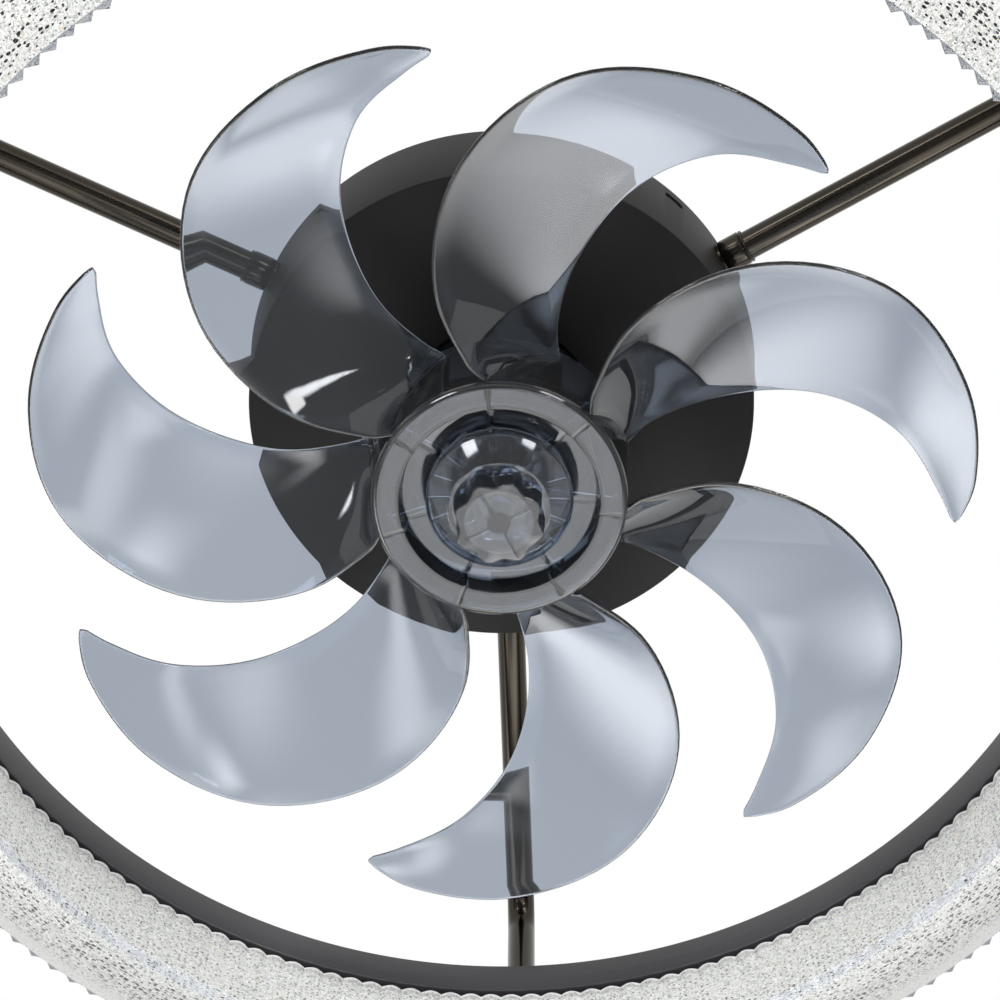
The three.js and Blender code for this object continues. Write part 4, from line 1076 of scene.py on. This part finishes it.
# Knob: skirt, cone and lobed grip in one moulding, hollow behind, with a boss for the thread
def make_knob():
    wall = KNOB_WALL
    bury = wall / 2
    rim = HUB_RIM_DEPTH
    back = rim - KNOB_SKIRT_BACK
    skirt_front = back + KNOB_SKIRT_HEIGHT
    shoulder = skirt_front + KNOB_SHOULDER_DROP
    front = rim + KNOB_LENGTH
    core_back = rim - RECESS_DEPTH + WASHER_THICKNESS + FIT_GAP * 2
    pocket_end = core_back + INSERT_HEIGHT + 2 * FIT_GAP
    shaft_end = rim - RECESS_DEPTH + THREAD_LENGTH + FIT_GAP
    boss_end = shaft_end + SHAFT_COVER
    rib_turns = [KNOB_RIB_ANGLE + rib * 360 / KNOB_RIBS for rib in range(KNOB_RIBS)]
    fin_turns = [fin * 360 / KNOB_FINS for fin in range(KNOB_FINS)]
    shell = loose(turned([
        (KNOB_SKIRT_RADIUS - wall, back), (KNOB_SKIRT_RADIUS, back), (KNOB_SKIRT_RADIUS, skirt_front),
        (KNOB_SHOULDER_RADIUS, shoulder), (KNOB_GRIP_RADIUS - wall, shoulder),
        (KNOB_GRIP_RADIUS - wall, shoulder - wall), (KNOB_SHOULDER_RADIUS - wall, shoulder - wall),
        (KNOB_SKIRT_RADIUS - wall, skirt_front - wall),
    ], ROUND_STEPS, MOULDING_ROUND), "knob_moulding")
    grip = make_grip(back, shoulder, front)
    boss = loose(turned([
        (0, core_back), (KNOB_BOSS_RADIUS, core_back), (KNOB_BOSS_RADIUS, boss_end),
        (KNOB_POST_RADIUS, boss_end), (KNOB_POST_RADIUS, front - bury), (0, front - bury),
    ], SMALL_STEPS), "boss")
    ribs = gather([
        make_rib(KNOB_RIB_THICKNESS, KNOB_POST_RADIUS - bury, GRIP_HOLLOW_RADIUS + bury, boss_end - bury,
                 front - bury, degrees)
        for degrees in rib_turns
    ])
    fins = gather([
        make_rib(KNOB_RIB_THICKNESS, KNOB_SHOULDER_RADIUS - bury, KNOB_SKIRT_RADIUS - bury,
                 skirt_front - KNOB_FIN_HEIGHT, skirt_front - bury, degrees)
        for degrees in fin_turns
    ])
    combine(shell, [grip, boss, ribs, fins], "UNION")
    mark_depth = front + KNOB_RIB_THICKNESS - KNOB_MARK_DEPTH
    combine(shell, [
        core(INSERT_RADIUS + FIT_GAP, back, pocket_end, POCKET_SIDES, "pocket"),
        core(SHAFT_RADIUS + FIT_GAP, back, shaft_end, SMALL_STEPS, "shaft"),
        gather([
            loose(spoke(KNOB_RIB_THICKNESS, KNOB_POST_RADIUS + KNOB_RIB_THICKNESS, KNOB_GRIP_RADIUS - wall,
                        mark_depth, degrees, SMALL_STEPS))
            for degrees in rib_turns
        ]),
        core(KNOB_POST_RADIUS, front - KNOB_MARK_DEPTH, front + wall, SMALL_STEPS, "gate"),
    ], "DIFFERENCE")
    dress(shell, "knob", "smoky_plastic", ["screw_knob"])
    shell.data.materials[0] = smoky_plastic("clearer smoky polycarbonate", KNOB_SMOKE)


# Carried-over pieces get their slot's material
def dress_frame():
    for entry in frame["record"]["subparts"]:
        node = frame["nodes"][entry["node"]]
        node.data.materials.clear()
        node.data.materials.append(materials[entry["material_slot"]])


# Camera at the photograph's place, with the small shift of its frame
def make_camera():
    data = bpy.data.cameras.new("camera")
    data.sensor_width = SENSOR_WIDTH_MM
    data.lens = FOCAL_PIXELS / IMAGE_SIZE * SENSOR_WIDTH_MM
    data.shift_x = -(CENTRE_PIXELS[0] - IMAGE_SIZE / 2) / IMAGE_SIZE
    data.shift_y = (CENTRE_PIXELS[1] - IMAGE_SIZE / 2) / IMAGE_SIZE
    camera = bpy.data.objects.new("camera", data)
    up = CAMERA_RIGHT.cross(CAMERA_LOOK)
    axes = Matrix((CAMERA_RIGHT, up, -CAMERA_LOOK)).transposed().to_4x4()
    camera.matrix_world = Matrix.Translation(CAMERA_PLACE) @ axes
    bpy.context.scene.collection.objects.link(camera)
    bpy.context.scene.camera = camera


# A flat lamp at a place, aimed at the fan, whose face is as bright as its level and fades towards its edge
def make_lamp(name, place, width, height, level, fade_share, only_gloss=False):
    data = bpy.data.lights.new(name, "AREA")
    data.shape = "RECTANGLE"
    data.size = width
    data.size_y = height
    data.energy = level * math.pi * width * height
    data.use_nodes = True
    tree = data.node_tree
    tree.nodes.clear()
    face = add_node(tree, "ShaderNodeNewGeometry")
    sides = add_node(tree, "ShaderNodeSeparateXYZ", links={"Vector": face.outputs["Parametric"]})
    fades = []
    fade = {"interpolation_type": "SMOOTHSTEP", "From Max": fade_share / 2}
    for side in ("X", "Y"):
        inward = add_node(tree, "ShaderNodeMath", {"operation": "PINGPONG", 1: 0.5}, {0: sides.outputs[side]})
        level_there = add_node(tree, "ShaderNodeMapRange", fade, {"Value": inward.outputs["Value"]})
        fades.append(level_there.outputs["Result"])
    strength = add_node(tree, "ShaderNodeMath", {"operation": "MULTIPLY"}, {0: fades[0], 1: fades[1]})
    light = add_node(tree, "ShaderNodeEmission", links={"Strength": strength.outputs["Value"]})
    add_node(tree, "ShaderNodeOutputLight", links={"Surface": light.outputs["Emission"]})
    lamp = bpy.data.objects.new(name, data)
    lamp.location = place
    lamp.rotation_euler = (LAMP_AIM - Vector(place)).to_track_quat("-Z", "Y").to_euler()
    lamp.visible_camera = False
    lamp.visible_diffuse = not only_gloss
    bpy.context.scene.collection.objects.link(lamp)


# White surround that metal and clear plastic show, with a lower level for matt surfaces
def make_surround():
    world = bpy.data.worlds.new("surround")
    world.use_nodes = True
    bpy.context.scene.world = world
    tree = world.node_tree
    tree.nodes.clear()
    path = add_node(tree, "ShaderNodeLightPath")
    gloss = add_node(tree, "ShaderNodeMath", {"operation": "MAXIMUM"},
                     {0: path.outputs["Is Camera Ray"], 1: path.outputs["Is Glossy Ray"]})
    seen = add_node(tree, "ShaderNodeMath", {"operation": "MAXIMUM"},
                    {0: gloss.outputs["Value"], 1: path.outputs["Is Transmission Ray"]})
    level = add_node(tree, "ShaderNodeMapRange", {"To Min": ROOM_LEVEL, "To Max": 1.0},
                     {"Value": seen.outputs["Value"]})
    light = add_node(tree, "ShaderNodeBackground", {"Color": (1, 1, 1, 1)},
                     {"Strength": level.outputs["Result"]})
    add_node(tree, "ShaderNodeOutputWorld", links={"Surface": light.outputs["Background"]})


# Pale plain floor far below the fan
def make_floor():
    bm = bmesh.new()
    bmesh.ops.create_grid(bm, x_segments=1, y_segments=1, size=FLOOR_SIZE / 2)
    bmesh.ops.translate(bm, verts=bm.verts, vec=(0, 0, -FLOOR_DEPTH))
    mesh = bpy.data.meshes.new("floor")
    bm.to_mesh(mesh)
    bm.free()
    floor = bpy.data.objects.new("floor", mesh)
    mesh.materials.append(new_material("pale floor", {"Base Color": linear("f0f0f2"), "Roughness": 0.9})[0])
    bpy.context.scene.collection.objects.link(floor)


make_camera()
make_surround()
make_floor()
for lamp in LAMPS:
    make_lamp(*lamp)
for panel in GLOSS_PANELS:
    make_lamp(*panel, only_gloss=True)
dress_frame()
make_canopy()
for number, degrees in enumerate(ARM_ANGLES, 1):
    make_arm(number, degrees)
    make_collar(number, degrees)
make_channel()
make_diffuser()
make_inner_teeth()
make_can()
make_impeller()
make_knob()

bpy.context.scene.view_settings.view_transform = "Standard"
